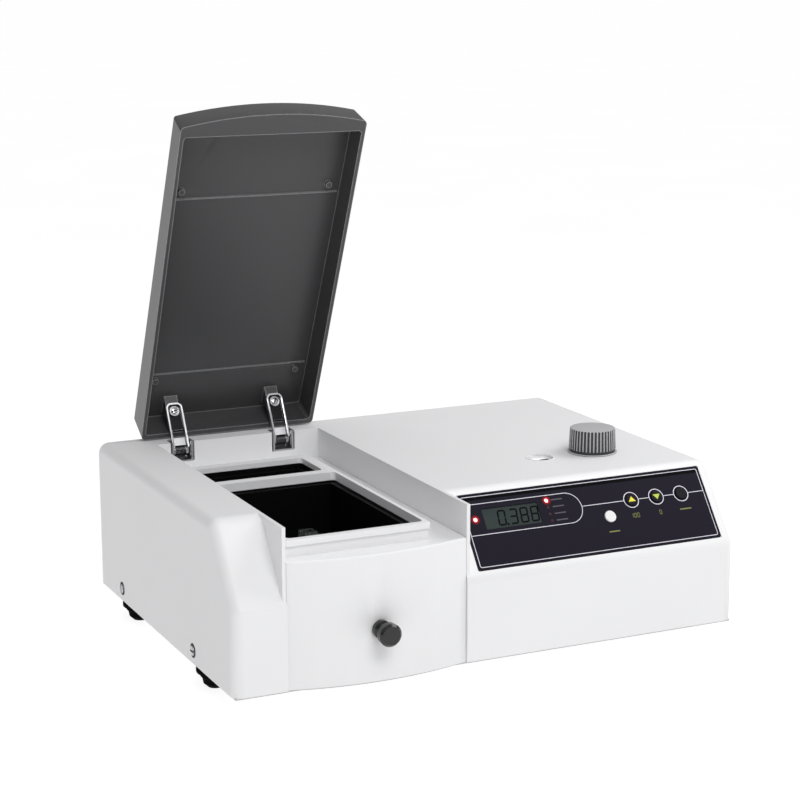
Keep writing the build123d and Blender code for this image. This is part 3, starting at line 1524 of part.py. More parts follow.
mains_inlet.part.label = "mains_inlet"
export_step(mains_inlet.part, "parts/mains_inlet.step")

fuse_length = 30.0
fuse_cap_over = 2.0
fuse_cap_height = 2.0
fuse_slot = (9.0, 1.2)
fuse_slot_depth = 1.0
with BuildPart() as fuse_holder:
    with BuildSketch(Plane.XZ.offset(-rear_face)):
        with Locations((fuse_x, rear_panel_z)):
            Circle(fuse_radius)
    extrude(amount=fuse_length)
    with BuildSketch(Plane.XZ.offset(-rear_face)):
        with Locations((fuse_x, rear_panel_z)):
            Circle(fuse_radius + fuse_cap_over)
    extrude(amount=-fuse_cap_height)
    with BuildSketch(Plane.XZ.offset(-rear_face - fuse_cap_height)):
        with Locations((fuse_x, rear_panel_z)):
            Rectangle(*fuse_slot)
    extrude(amount=fuse_slot_depth, mode=Mode.SUBTRACT)
fuse_holder.part.label = "fuse_holder"
export_step(fuse_holder.part, "parts/fuse_holder.step")

# Power switch: a frame through the rear panel, and a rocker on a pin across it
frame_depth = 15.0
frame_pocket = 12.0
frame_flange = 1.0
frame_reach = 4.0
rocker_pin_radius = 1.2
rocker_pin_sink = 1.0
rocker_pocket_gap = 0.6
rocker_pin_y = rear_face - rocker_pin_depth
with BuildPart() as switch_frame:
    box_between(
        power_x - rocker_width / 2 - frame_wall, power_x + rocker_width / 2 + frame_wall,
        rear_face - frame_depth, rear_face,
        rear_panel_z - rocker_height / 2 - frame_wall, rear_panel_z + rocker_height / 2 + frame_wall,
    )
    box_between(
        power_x - rocker_width / 2 - frame_reach, power_x + rocker_width / 2 + frame_reach,
        rear_face, rear_face + frame_flange,
        rear_panel_z - rocker_height / 2 - frame_reach, rear_panel_z + rocker_height / 2 + frame_reach,
    )
    box_between(
        power_x - rocker_width / 2 - loose, power_x + rocker_width / 2 + loose,
        rear_face - frame_pocket, rear_face + frame_flange,
        rear_panel_z - rocker_height / 2 - rocker_pocket_gap,
        rear_panel_z + rocker_height / 2 + rocker_pocket_gap,
        mode=Mode.SUBTRACT,
    )
    with BuildSketch(Plane.YZ.offset(power_x - rocker_width / 2 - rocker_pin_sink)):
        with Locations((rocker_pin_y, rear_panel_z)):
            Circle(rocker_pin_radius)
    extrude(amount=rocker_width + 2 * rocker_pin_sink)
switch_frame.part.label = "switch_frame"
export_step(switch_frame.part, "parts/switch_frame.step")

rocker_foot = (6.0, 5.0)
rocker_shoulder = 0.5
rocker_hollow = 1.4
with BuildPart() as rocker_blank:
    with BuildSketch(Plane.YZ.offset(power_x - rocker_width / 2)):
        with BuildLine():
            Polyline(
                (rear_face - rocker_foot[0], rear_panel_z - rocker_foot[1]),
                (rear_face + rocker_shoulder, rear_panel_z - rocker_half),
                (rear_face + rocker_crest, rear_panel_z - rocker_half),
                (rear_face + rocker_crest - rocker_hollow, rear_panel_z),
                (rear_face + rocker_crest, rear_panel_z + rocker_half),
                (rear_face + rocker_shoulder, rear_panel_z + rocker_half),
                (rear_face - rocker_foot[0], rear_panel_z + rocker_foot[1]),
                close=True,
            )
        make_face()
        with Locations((rocker_pin_y, rear_panel_z)):
            Circle(rocker_pin_radius + running, mode=Mode.SUBTRACT)
    extrude(amount=rocker_width)
rocker_axis = Axis((power_x, rocker_pin_y, rear_panel_z), (1, 0, 0))
with BuildPart() as power_rocker:
    add(rocker_blank.part.rotate(rocker_axis, rocker_angle))
power_rocker.part.label = "power_rocker"
export_step(power_rocker.part, "parts/power_rocker.step")
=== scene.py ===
import json
from math import atan2, cos, hypot, pi, radians, sin

import bmesh
import bpy
from mathutils import Matrix, Vector


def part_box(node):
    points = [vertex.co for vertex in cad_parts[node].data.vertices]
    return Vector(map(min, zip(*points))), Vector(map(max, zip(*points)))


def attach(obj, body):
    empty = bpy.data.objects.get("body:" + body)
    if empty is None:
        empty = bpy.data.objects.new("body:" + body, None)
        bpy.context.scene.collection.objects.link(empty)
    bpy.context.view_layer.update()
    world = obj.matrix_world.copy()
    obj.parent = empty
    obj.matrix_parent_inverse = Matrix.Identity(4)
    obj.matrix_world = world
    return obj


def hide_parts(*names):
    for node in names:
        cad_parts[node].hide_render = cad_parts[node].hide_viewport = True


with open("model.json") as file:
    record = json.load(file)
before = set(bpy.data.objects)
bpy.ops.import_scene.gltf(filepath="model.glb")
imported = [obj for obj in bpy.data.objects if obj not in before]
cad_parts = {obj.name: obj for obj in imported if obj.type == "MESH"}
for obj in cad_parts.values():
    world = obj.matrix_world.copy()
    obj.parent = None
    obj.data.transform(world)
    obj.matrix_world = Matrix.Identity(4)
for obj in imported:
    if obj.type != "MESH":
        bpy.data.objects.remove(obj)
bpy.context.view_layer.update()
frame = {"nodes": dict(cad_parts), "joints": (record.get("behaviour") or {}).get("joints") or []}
nodes = frame["nodes"]

# Studio: a pale board under the instrument and a pale surround, brighter overhead. Neither
# is part of the object. The board is matt and has a faint tooth.
cover_low, cover_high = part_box("cover_shell")


def new_material(name, **shader_values):
    """A material with one shader, and the constants of that shader set on its sockets."""
    material = bpy.data.materials.new(name)
    material.use_nodes = True
    shader = material.node_tree.nodes["Principled BSDF"]
    for socket, value in shader_values.items():
        shader.inputs[socket.replace("_", " ")].default_value = value
    return material, material.node_tree, shader


def grain(tree, shader, scale, height, detail=3.0):
    """Fine surface grain in metres, put on the shader as a bump."""
    place = tree.nodes.new("ShaderNodeTexCoord")
    noise = tree.nodes.new("ShaderNodeTexNoise")
    noise.inputs["Scale"].default_value = scale
    noise.inputs["Detail"].default_value = detail
    bump = tree.nodes.new("ShaderNodeBump")
    bump.inputs["Strength"].default_value = 1.0
    bump.inputs["Distance"].default_value = height
    tree.links.new(place.outputs["Object"], noise.inputs["Vector"])
    tree.links.new(noise.outputs["Fac"], bump.inputs["Height"])
    tree.links.new(bump.outputs["Normal"], shader.inputs["Normal"])
    return place


def mottle(tree, shader, place, low, high, scale, socket="Base Color"):
    """Slow drift between two colours or two roughness values over the surface."""
    drift = tree.nodes.new("ShaderNodeTexNoise")
    drift.inputs["Scale"].default_value = scale
    drift.inputs["Detail"].default_value = 2.0
    ramp = tree.nodes.new("ShaderNodeValToRGB")
    ramp.color_ramp.elements[0].position = 0.35
    ramp.color_ramp.elements[1].position = 0.65
    ramp.color_ramp.elements[0].color = (*low, 1)
    ramp.color_ramp.elements[1].color = (*high, 1)
    tree.links.new(place.outputs["Object"], drift.inputs["Vector"])
    tree.links.new(drift.outputs["Fac"], ramp.inputs["Fac"])
    tree.links.new(ramp.outputs["Color"], shader.inputs[socket])


def board_material():
    material, tree, shader = new_material("studio_board", Roughness=0.95)
    shader.inputs["Specular IOR Level"].default_value = 0.0
    place = grain(tree, shader, 400, 0.0001)
    mottle(tree, shader, place, (0.19, 0.19, 0.19), (0.21, 0.21, 0.21), 3)
    shader.inputs["Emission Color"].default_value = (1, 1, 1, 1)
    shader.inputs["Emission Strength"].default_value = 0.90
    return material


board_half = 40.0
board_mesh = bpy.data.meshes.new("studio_board")
board_mesh.from_pydata(
    [(-board_half, -board_half, 0), (board_half, -board_half, 0),
     (board_half, board_half, 0), (-board_half, board_half, 0)],
    [],
    [(0, 1, 2, 3)],
)
board = bpy.data.objects.new("studio_board", board_mesh)
bpy.context.collection.objects.link(board)
board_mesh.materials.append(board_material())

surround = bpy.data.worlds.new("surround")
bpy.context.scene.world = surround
surround.use_nodes = True
world_tree = surround.node_tree
backdrop = world_tree.nodes["Background"]
backdrop.inputs["Strength"].default_value = 1.0
direction = world_tree.nodes.new("ShaderNodeTexCoord")
upward = world_tree.nodes.new("ShaderNodeVectorMath")
upward.operation = "DOT_PRODUCT"
upward.inputs[1].default_value = (0.1, 0.0, 1.0)
shade = world_tree.nodes.new("ShaderNodeValToRGB")
shade.color_ramp.elements[0].position = 0.0
shade.color_ramp.elements[0].color = (0.25, 0.25, 0.255, 1)
shade.color_ramp.elements[1].position = 1.0
shade.color_ramp.elements[1].color = (0.56, 0.56, 0.56, 1)
world_tree.links.new(direction.outputs["Generated"], upward.inputs[0])
world_tree.links.new(upward.outputs["Value"], shade.inputs["Fac"])
world_tree.links.new(shade.outputs["Color"], backdrop.inputs["Color"])
bpy.context.scene.view_settings.view_transform = "Standard"

# Lights: a soft box over the right side and a larger one high in front, as the white slope
# and front and the greyer left side of the instrument show.


def soft_box(name, place, target, size, power):
    lamp = bpy.data.lights.new(name, "AREA")
    lamp.shape = "SQUARE"
    lamp.size = size
    lamp.energy = power
    holder = bpy.data.objects.new(name, lamp)
    holder.location = place
    holder.rotation_euler = (Vector(target) - Vector(place)).to_track_quat("-Z", "Y").to_euler()
    bpy.context.collection.objects.link(holder)


light_height = 0.10
soft_box("light_right", (0.95, -0.15, 1.05), (0.05, 0, light_height), size=0.8, power=6.6)
soft_box("light_front", (-0.15, -1.50, 1.60), (0, 0, light_height), size=1.0, power=17.0)

# Camera: in front, to the left and above, with a long lens, from the edges of the
# photograph. It is placed from the front left corner of the cover.
camera_offset = Vector((-0.514, -1.384, 0.565))
camera_yaw = radians(25.26)
camera_pitch = radians(12.20)
camera_roll = radians(-0.10)
lens_pixels = 2057.0
image_pixels = 800.0
camera_data = bpy.data.cameras.new("camera")
camera_data.sensor_width = 36.0
camera_data.lens = camera_data.sensor_width * lens_pixels / image_pixels
camera = bpy.data.objects.new("camera", camera_data)
camera.location = Vector((cover_low.x, cover_low.y, 0)) + camera_offset
turn = Matrix.Rotation(-camera_yaw, 4, "Z") @ Matrix.Rotation(pi / 2 - camera_pitch, 4, "X")
camera.rotation_euler = (turn @ Matrix.Rotation(camera_roll, 4, "Z")).to_euler()
bpy.context.collection.objects.link(camera)
bpy.context.scene.camera = camera

# Cover, front panel and recess tray: white moulded plastic with a very fine spark texture.
# Every moulded edge has a small radius.


def paint(material, *names):
    """Put a finish on pieces that keep their shape."""
    for name in names:
        mesh = nodes[name].data
        mesh.materials.clear()
        mesh.materials.append(material)


def soften(width, *names):
    """Give the edges of pieces a small radius, and keep their flat faces flat."""
    for name in names:
        piece = nodes[name]
        weld = piece.modifiers.new("weld", "WELD")
        weld.merge_threshold = 0.00001
        edge = piece.modifiers.new("edge", "BEVEL")
        edge.width = width
        edge.segments = 2
        edge.limit_method = "ANGLE"
        edge.angle_limit = radians(38)
        edge.harden_normals = True


def moulded(name, colour, roughness, grain_height=0.00003, grain_scale=1800):
    """Moulded plastic of one colour, a little uneven, with a spark texture."""
    material, tree, shader = new_material(name, Roughness=roughness)
    place = grain(tree, shader, grain_scale, grain_height)
    low = tuple(0.985 * c for c in colour)
    mottle(tree, shader, place, low, colour, 6)
    return material


def matt(material, level):
    """Set how strongly a finish reflects at its surface."""
    material.node_tree.nodes["Principled BSDF"].inputs["Specular IOR Level"].default_value = level
    return material


white_plastic = moulded("white_plastic", (0.84, 0.84, 0.85), 0.5)
paint(white_plastic, "cover_shell", "front_panel", "recess_tray", "window_ring")
soften(0.0006, "cover_shell", "front_panel", "recess_tray")

# Side screws: bright pan heads with a slot, each in a thin dark ring low on the cover's sides; the ring is
# painted shade where the head sits in a small recess. They hold the cover to the base plate.
screw_radius = 0.0042
screw_reach = 0.0014
screw_shade_radius = 0.0060
screw_shade_height = 0.0003
screw_slot_width = 0.0016
steel_colour = (0.62, 0.62, 0.64, 1)


def brushed(name, colour, roughness, scale=900, height=0.00002):
    """Sheet or turned metal with fine marks."""
    material, tree, shader = new_material(name, Metallic=1.0, Roughness=roughness, Base_Color=colour)
    grain(tree, shader, scale, height)
    return material


def new_piece(name, form, material, body):
    """Make a piece from a finished form, which moves with a body of the instrument."""
    bmesh.ops.recalc_face_normals(form, faces=form.faces)
    mesh = bpy.data.meshes.new(name)
    form.to_mesh(mesh)
    form.free()
    mesh.materials.append(material)
    piece = bpy.data.objects.new(name, mesh)
    bpy.context.collection.objects.link(piece)
    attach(piece, body)
    return piece


def turned(form, profile, place, axis, steps=48):
    """Add a turned shape: the profile lists (radius, height along the axis) from end to end."""
    upright = Vector(axis).to_track_quat("Z", "Y").to_matrix()
    rings = []
    for radius, height in profile:
        if radius == 0:
            rings.append([form.verts.new(Vector(place) + upright @ Vector((0, 0, height)))])
            continue
        ring = []
        for step in range(steps):
            angle = 2 * pi * step / steps
            spoke = Vector((radius * cos(angle), radius * sin(angle), height))
            ring.append(form.verts.new(Vector(place) + upright @ spoke))
        rings.append(ring)
    for low, high in zip(rings, rings[1:]):
        for step in range(steps):
            after = (step + 1) % steps
            if len(low) == 1:
                form.faces.new((low[0], high[step], high[after]))
            elif len(high) == 1:
                form.faces.new((low[step], high[0], low[after]))
            else:
                form.faces.new((low[step], high[step], high[after], low[after]))


def shade_smooth(piece, angle=35):
    """Smooth shading up to a corner angle."""
    for face in piece.data.polygons:
        face.use_smooth = True
    for edge_index, sharp in enumerate(sharp_edges(piece.data, radians(angle))):
        piece.data.edges[edge_index].use_edge_sharp = sharp


def sharp_edges(mesh, angle):
    """For each edge, whether its two faces meet at more than an angle."""
    form = bmesh.new()
    form.from_mesh(mesh)
    form.edges.ensure_lookup_table()
    answers = [not e.is_manifold or e.calc_face_angle(0) > angle for e in form.edges]
    form.free()
    return answers


def slotted_head(form, place, axis, radius, height, slot_width, slot_turn=0.3):
    """A domed screw head with a slot across it, cut by two half heads that leave a gap."""
    outward = Vector(axis).normalized()
    rise = outward.to_track_quat("Z", "Y").to_matrix()
    slot_depth = 0.45 * height
    steps = 18
    slot_floor = height - slot_depth
    turned(
        form,
        [(0, 0), (radius, 0), (radius, 0.35 * height), (0.985 * radius, slot_floor), (0, slot_floor)],
        place, axis,
    )
    for side in (-1, 1):
        start = side * slot_width / 2
        layers = []
        dome = ((0.985, slot_floor), (0.93, 0.8 * height), (0.78, 0.94 * height), (0.5, height))
        for share, level in dome:
            reach = share * radius
            limit = max(min(start / reach, 1), -1)
            begin = limit if side > 0 else -limit
            first = atan2(begin, (1 - begin * begin) ** 0.5)
            layer = []
            for step in range(steps + 1):
                angle = first + (pi - 2 * first) * step / steps
                across = Vector((reach * cos(angle), side * reach * sin(angle), level))
                across.rotate(Matrix.Rotation(slot_turn, 3, "Z"))
                layer.append(form.verts.new(Vector(place) + rise @ across))
            layers.append(layer)
        for low, high in zip(layers, layers[1:]):
            for step in range(steps):
                form.faces.new((low[step], low[step + 1], high[step + 1], high[step]))
            form.faces.new((low[0], high[0], high[-1], low[-1]))
        form.faces.new(layers[-1])
        form.faces.new(layers[0])


def slot_shade(form, place, axis, radius, level, slot_width, slot_turn=0.3):
    """Painted shade on the floor of a screw's slot: a thin dark bar at a level over the seat."""
    rise = Vector(axis).normalized().to_track_quat("Z", "Y").to_matrix()
    half_length = 0.97 * radius
    half_width = 0.48 * slot_width
    corners = (
        (-half_length, -half_width), (half_length, -half_width),
        (half_length, half_width), (-half_length, half_width),
    )
    layers = []
    for height in (level - 0.00002, level + 0.00006):
        layer = []
        for a, b in corners:
            spot = Vector((a, b, height))
            spot.rotate(Matrix.Rotation(slot_turn, 3, "Z"))
            layer.append(form.verts.new(Vector(place) + rise @ spot))
        layers.append(layer)
    form.faces.new(layers[0])
    form.faces.new(layers[1])
    for i in range(4):
        j = (i + 1) % 4
        form.faces.new((layers[0][i], layers[0][j], layers[1][j], layers[1][i]))


bright_steel = brushed("bright_steel", steel_colour, 0.28)
screw_steel = brushed("screw_steel", (0.72, 0.72, 0.74, 1), 0.16)
# Painted shade for the floors of the screw slots, side screws and hinge screws alike.
slot_painted_shade = moulded("slot_painted_shade", (0.01, 0.01, 0.01), 0.7, 0.000002)
screw_low, screw_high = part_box("side_screws")
screw_ys = (screw_low.y + screw_radius, screw_high.y - screw_radius)
screw_z = (screw_low.z + screw_high.z) / 2
heads = bmesh.new()
rings = bmesh.new()
slots = bmesh.new()
for side in (-1, 1):
    for y in screw_ys:
        seat = (side * cover_high.x, y, screw_z)
        slot_turn = 0.6 + 9 * y
        slotted_head(heads, seat, (side, 0, 0), screw_radius, screw_reach, screw_slot_width, slot_turn)
        slot_shade(slots, seat, (side, 0, 0), screw_radius, 0.55 * screw_reach, screw_slot_width, slot_turn)
        turned(
            rings,
            [(screw_radius, 0), (screw_shade_radius, 0), (screw_shade_radius - 0.0003, screw_shade_height),
             (screw_radius, screw_shade_height)],
            seat, (side, 0, 0),
        )
zinc = brushed("zinc", (0.48, 0.48, 0.50, 1), 0.3)
screw_heads = new_piece("side_screw_heads", heads, zinc, "instrument")
new_piece("side_screw_slots", slots, slot_painted_shade, "instrument")
shade_smooth(screw_heads)
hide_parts("side_screws")
# Painted shade: a flat dark ring on the cover round each screw head.
screw_painted_shade = moulded("screw_painted_shade", (0.022, 0.022, 0.024), 0.7)
new_piece("side_screw_shade_rings", rings, screw_painted_shade, "instrument")

# Feet: black rubber, turned down to a round pad. A long thin flange at the top of each foot
# lies against the base plate.
rubber = matt(moulded("black_rubber", (0.003, 0.003, 0.003), 0.85), 0.05)
feet = ("foot_front_left", "foot_front_right", "foot_rear_left", "foot_rear_right")
paint(rubber, *feet)
flange_half_width = 0.0136
flange_half_length = 0.0185
flange_rearward = 0.0030
flange_thickness = 0.0024
flanges = bmesh.new()
for foot in feet:
    foot_low, foot_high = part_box(foot)
    foot_middle = (foot_low + foot_high) / 2
    layers = []
    for height in (foot_high.z - flange_thickness, foot_high.z - 0.0001):
        layer = []
        for step in range(40):
            angle = 2 * pi * step / 40
            layer.append(flanges.verts.new((
                foot_middle.x + flange_half_width * cos(angle),
                foot_middle.y + flange_rearward + flange_half_length * sin(angle),
                height,
            )))
        layers.append(layer)
    flanges.faces.new(layers[0])
    flanges.faces.new(layers[1])
    for step in range(40):
        after = (step + 1) % 40
        flanges.faces.new((layers[0][step], layers[0][after], layers[1][after], layers[1][step]))
new_piece("foot_flanges", flanges, rubber, "instrument")

# Sample box, rear well and carriage: black moulded plastic, with glass cuvettes standing in
# the four pockets. The carriage slides on two polished rods.
black_plastic = matt(moulded("black_plastic", (0.0025, 0.0025, 0.0026), 0.35), 0.2)
paint(black_plastic, "sample_box", "rear_well", "cuvette_carriage", "rod_bush")
soften(0.0004, "sample_box", "rear_well", "cuvette_carriage")
liner_wall = 0.0010
liner_corner = 0.0035


def frame_band(form, low, high, corner, thickness, floor, top, steps=6):
    """An upright band round the inside of an opening with rounded corners."""
    loops = []
    for inset in (0.0, thickness):
        radius = corner - inset
        loop = []
        for x, y, start in (
            (high.x - corner, high.y - corner, 0), (low.x + corner, high.y - corner, pi / 2),
            (low.x + corner, low.y + corner, pi), (high.x - corner, low.y + corner, 3 * pi / 2),
        ):
            for step in range(steps + 1):
                angle = start + pi / 2 * step / steps
                loop.append((x + radius * cos(angle), y + radius * sin(angle)))
        loops.append(loop)
    count = len(loops[0])
    levels = []
    for loop, level in ((loops[0], floor), (loops[0], top), (loops[1], top), (loops[1], floor)):
        levels.append([form.verts.new((x, y, level)) for x, y in loop])
    for low_ring, high_ring in zip(levels, levels[1:] + levels[:1]):
        for i in range(count):
            j = (i + 1) % count
            form.faces.new((low_ring[i], low_ring[j], high_ring[j], high_ring[i]))


liner_drop = 0.001
for tub, liner_rise in (("sample_box", 0.0015), ("rear_well", 0.0042)):
    tub_low, tub_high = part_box(tub)
    liner_foot = tub_high.z - liner_drop
    liner_top = tub_high.z + liner_rise
    form = bmesh.new()
    frame_band(form, tub_low, tub_high, liner_corner, liner_wall, liner_foot, liner_top)
    new_piece(f"{tub}_lip", form, black_plastic, "instrument")

rod_steel = brushed("rod_steel", (0.6, 0.6, 0.62, 1), 0.2)
paint(rod_steel, "carriage_rail_left", "carriage_rail_right", "pull_rod")

cuvette_half = 0.00625
cuvette_wall = 0.00125
cuvette_height = 0.045
pocket_pitch = 0.016
pocket_count = 4
pocket_floor_rise = 0.011
glass, glass_tree, glass_shader = new_material(
    "cuvette_glass", Roughness=0.06, IOR=1.50, Transmission_Weight=0.97, Base_Color=(0.93, 0.97, 0.97, 1)
)
grain(glass_tree, glass_shader, 300, 0.000004)


def cuvette(form, middle, floor):
    """An open square tube with a thick bottom."""
    levels = (floor, floor + cuvette_height, floor + cuvette_height, floor + 2.4 * cuvette_wall)
    halves = (cuvette_half, cuvette_half, cuvette_half - cuvette_wall, cuvette_half - cuvette_wall)
    loops = []
    for level, half in zip(levels, halves):
        loops.append([
            form.verts.new((middle[0] + dx * half, middle[1] + dy * half, level))
            for dx, dy in ((-1, -1), (1, -1), (1, 1), (-1, 1))
        ])
    for low, high in zip(loops, loops[1:]):
        for i in range(4):
            j = (i + 1) % 4
            form.faces.new((low[i], low[j], high[j], high[i]))
    form.faces.new(loops[0])
    form.faces.new(loops[-1])


carriage_low, carriage_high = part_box("cuvette_carriage")
carriage_x = (carriage_low.x + carriage_high.x) / 2
carriage_y = (carriage_low.y + carriage_high.y) / 2
for pocket in range(pocket_count):
    y = carriage_y + (pocket - (pocket_count - 1) / 2) * pocket_pitch
    form = bmesh.new()
    cuvette(form, (carriage_x, y), carriage_low.z + pocket_floor_rise)
    piece = new_piece(f"cuvette_{pocket + 1}", form, glass, "carriage")
    edge = piece.modifiers.new("edge", "BEVEL")
    edge.width = 0.0003
    edge.segments = 2

# Pull knob: a glossy black turned knob on the end of the rod.
gloss_black = moulded("gloss_black", (0.012, 0.012, 0.013), 0.16, 0.000005)
paint(gloss_black, "pull_knob")

# Lid: grey moulding with a satin skin, lighter where the light catches its rounded edges.


def painted_edge_highlight(material, radius, highlight_colour):
    """Paint a lighter line along a finish's edges: a painted highlight where the light catches them."""
    tree = material.node_tree
    shader = tree.nodes["Principled BSDF"]
    rounded = tree.nodes.new("ShaderNodeBevel")
    rounded.samples = 4
    rounded.inputs["Radius"].default_value = radius
    true_face = tree.nodes.new("ShaderNodeNewGeometry")
    agreement = tree.nodes.new("ShaderNodeVectorMath")
    agreement.operation = "DOT_PRODUCT"
    line = tree.nodes.new("ShaderNodeMapRange")
    line.inputs["From Min"].default_value = 0.995
    line.inputs["From Max"].default_value = 0.90
    blend = tree.nodes.new("ShaderNodeMix")
    blend.data_type = "RGBA"
    blend.inputs["B"].default_value = (*highlight_colour, 1)
    skin = shader.inputs["Base Color"].links[0].from_socket
    tree.links.new(rounded.outputs["Normal"], agreement.inputs[0])
    tree.links.new(true_face.outputs["Normal"], agreement.inputs[1])
    tree.links.new(agreement.outputs["Value"], line.inputs["Value"])
    tree.links.new(line.outputs["Result"], blend.inputs["Factor"])
    tree.links.new(skin, blend.inputs["A"])
    tree.links.new(blend.outputs["Result"], shader.inputs["Base Color"])


lid_grey = moulded("lid_grey", (0.057, 0.057, 0.0595), 0.34, 0.00004, 1500)
# Painted highlight: a lighter grey line along the lid's rounded edges.
painted_edge_highlight(lid_grey, 0.0012, (0.34, 0.34, 0.345))
paint(lid_grey, "lid_shell")
soften(0.0007, "lid_shell")

# Hinges: bright steel brackets and channel arms. Each link carries a coiled spring of black
# wire round the lid pin, and each arm is held to the lid by a slotted screw.
paint(bright_steel, "hinge_bracket_left", "hinge_bracket_right", "hinge_arm_left", "hinge_arm_right")
soften(0.0003, "hinge_bracket_left", "hinge_bracket_right", "hinge_arm_left", "hinge_arm_right")
link_steel = brushed("link_steel", (0.50, 0.50, 0.52, 1), 0.35)
paint(link_steel, "hinge_link_left", "hinge_link_right")
spring_wire = 0.0006
spring_coil = 0.0040
spring_turns = 8
spring_half = 0.0049
lid_pin = next(j for j in frame["joints"] if j["name"] == "lid_turn")["pos_m"]
arm_slope = radians(61.8)
arm_screw_height = 0.0016
black_wire = matt(moulded("black_wire", (0.003, 0.003, 0.003), 0.5, 0.000005), 0.1)
cap_white = brushed("cap_white", (0.62, 0.62, 0.64, 1), 0.55)


def coiled(form, middle_x, half_length, pin, steps_per_turn=28, sides=8):
    """A close coil of wire round a pin that lies along x."""
    steps = spring_turns * steps_per_turn
    rings = []
    for step in range(steps + 1):
        angle = 2 * pi * step / steps_per_turn
        x = middle_x - half_length + 2 * half_length * step / steps
        ring = []
        for side in range(sides):
            bend = 2 * pi * side / sides
            reach = spring_coil + spring_wire * cos(bend)
            ring.append(form.verts.new((
                x + spring_wire * sin(bend),
                pin[1] + reach * cos(angle),
                pin[2] + reach * sin(angle),
            )))
        rings.append(ring)
    for low, high in zip(rings, rings[1:]):
        for side in range(sides):
            after = (side + 1) % sides
            form.faces.new((low[side], low[after], high[after], high[side]))
    form.faces.new(rings[0])
    form.faces.new(rings[-1])


arm_up = Vector((0, cos(arm_slope), sin(arm_slope)))
arm_back = Vector((0, sin(arm_slope), -cos(arm_slope)))
foot_from_pin = (-0.006799, 0.0041)
arm_foot = Vector((0, lid_pin[1] + foot_from_pin[0], lid_pin[2] + foot_from_pin[1]))
web_front = 0.0031
web_half = 0.0059
web_start = 0.0171
web_end = 0.0398
web_corner = 0.0034
web_sink = 0.00001
web_thickness = 0.00012
# Painted shade: a thin black sheet on each arm's web, which lies in shade between the flanges.
web_painted_shade = matt(moulded("web_painted_shade", (0.004, 0.004, 0.0045), 0.5, 0.00001), 0.2)
arm_screw_along = 0.0341
cap_radius = 0.0032
cap_height = 0.0016
cap_slot_width = 0.0012
washer_outer = 0.0047
washer_inner = 0.0037
washer_height = 0.0006
foot_half = 0.0056
foot_start = 0.0028
foot_end = 0.0095
foot_back = 0.0003
foot_thickness = 0.0008


def flat_plate(form, start, outline, back, front):
    """A plate across a hinge arm, its outline as (x, along the arm), between two depths."""
    layers = []
    for depth in (back, front):
        layers.append([
            form.verts.new(start + Vector((x, 0, 0)) + arm_up * along + arm_back * depth)
            for x, along in outline
        ])
    form.faces.new(layers[0])
    form.faces.new(layers[1])
    for i in range(len(outline)):
        j = (i + 1) % len(outline)
        form.faces.new((layers[0][i], layers[0][j], layers[1][j], layers[1][i]))


for side_name, slot_turn in (("left", 0.25), ("right", 0.9)):
    arm_low, arm_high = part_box(f"hinge_arm_{side_name}")
    arm_x = (arm_low.x + arm_high.x) / 2
    start = arm_foot + Vector((arm_x, 0, 0)) + arm_back * web_front
    outline = [(-web_half, web_start), (web_half, web_start)]
    for step in range(7):
        angle = pi / 2 * step / 6
        outline.append((
            web_half - web_corner + web_corner * cos(angle),
            web_end - web_corner + web_corner * sin(angle),
        ))
    outline += [(-x, a) for x, a in reversed(outline[2:])]
    form = bmesh.new()
    flat_plate(form, start, outline, web_sink, -web_thickness)
    new_piece(f"hinge_web_shade_{side_name}", form, web_painted_shade, "lid")
    seat = start + arm_up * arm_screw_along - arm_back * arm_screw_height
    form = bmesh.new()
    slotted_head(form, seat, -arm_back, cap_radius, cap_height, cap_slot_width, slot_turn)
    turned(
        form,
        [(washer_inner, 0), (washer_outer, 0), (washer_outer, 0.6 * washer_height),
         (washer_outer - 0.0003, washer_height), (washer_inner, washer_height), (washer_inner, 0)],
        seat, -arm_back,
    )
    cap = new_piece(f"hinge_screw_{side_name}", form, screw_steel, "lid")
    shade_smooth(cap)
    form = bmesh.new()
    slot_shade(form, seat, -arm_back, cap_radius, 0.55 * cap_height, cap_slot_width, slot_turn)
    new_piece(f"hinge_screw_slot_{side_name}", form, slot_painted_shade, "lid")
    form = bmesh.new()
    foot_outline = [
        (-foot_half, foot_start), (foot_half, foot_start), (foot_half, foot_end), (-foot_half, foot_end)
    ]
    flat_plate(form, start, foot_outline, foot_back + foot_thickness, foot_back)
    new_piece(f"hinge_foot_{side_name}", form, cap_white, "lid")
    form = bmesh.new()
    coiled(form, arm_x, spring_half, lid_pin)
    spring = new_piece(f"hinge_spring_{side_name}", form, black_wire, "hinge_links")
    shade_smooth(spring, 60)

# Wavelength knob: grey moulding with straight ridges and deep grooves between them, drawn in above a thin
# base ring. A dark core inside the grip shows in the grooves and the drawn-in neck as painted shade. Its
# top is a little domed. It is pressed on the shaft.
knob_low, knob_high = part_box("wavelength_knob")
knob_middle = (knob_low + knob_high) / 2
knob_reach = (knob_high.x - knob_low.x) / 2
ridge_count = 40
groove_depth = 0.0017
groove_share = 0.82
base_ring_height = 0.0009
neck_height = 0.0023
neck_radius = knob_reach - 0.0030
shade_radius = neck_radius + 0.0014
grip_foot_radius = knob_reach - 0.0010
grip_head_radius = knob_reach - 0.0018
rim_bevel = 0.0006
dome_rise = 0.0008
knob_grey = moulded("knob_grey", (0.46, 0.46, 0.475), 0.30, 0.00002)
# Dark finish for the painted shade in the grooves and under the grip.
knob_painted_shade = moulded("knob_painted_shade", (0.035, 0.035, 0.037), 0.6, 0.00002)


def groove_reach(turn_share):
    """How deep the grip is cut, from 0 on a ridge to 1 in a groove, over one ridge's pitch."""
    distance = abs(turn_share - 0.5) * 2
    if distance > groove_share:
        return 0.0
    return 0.5 + 0.5 * cos(pi * distance / groove_share)


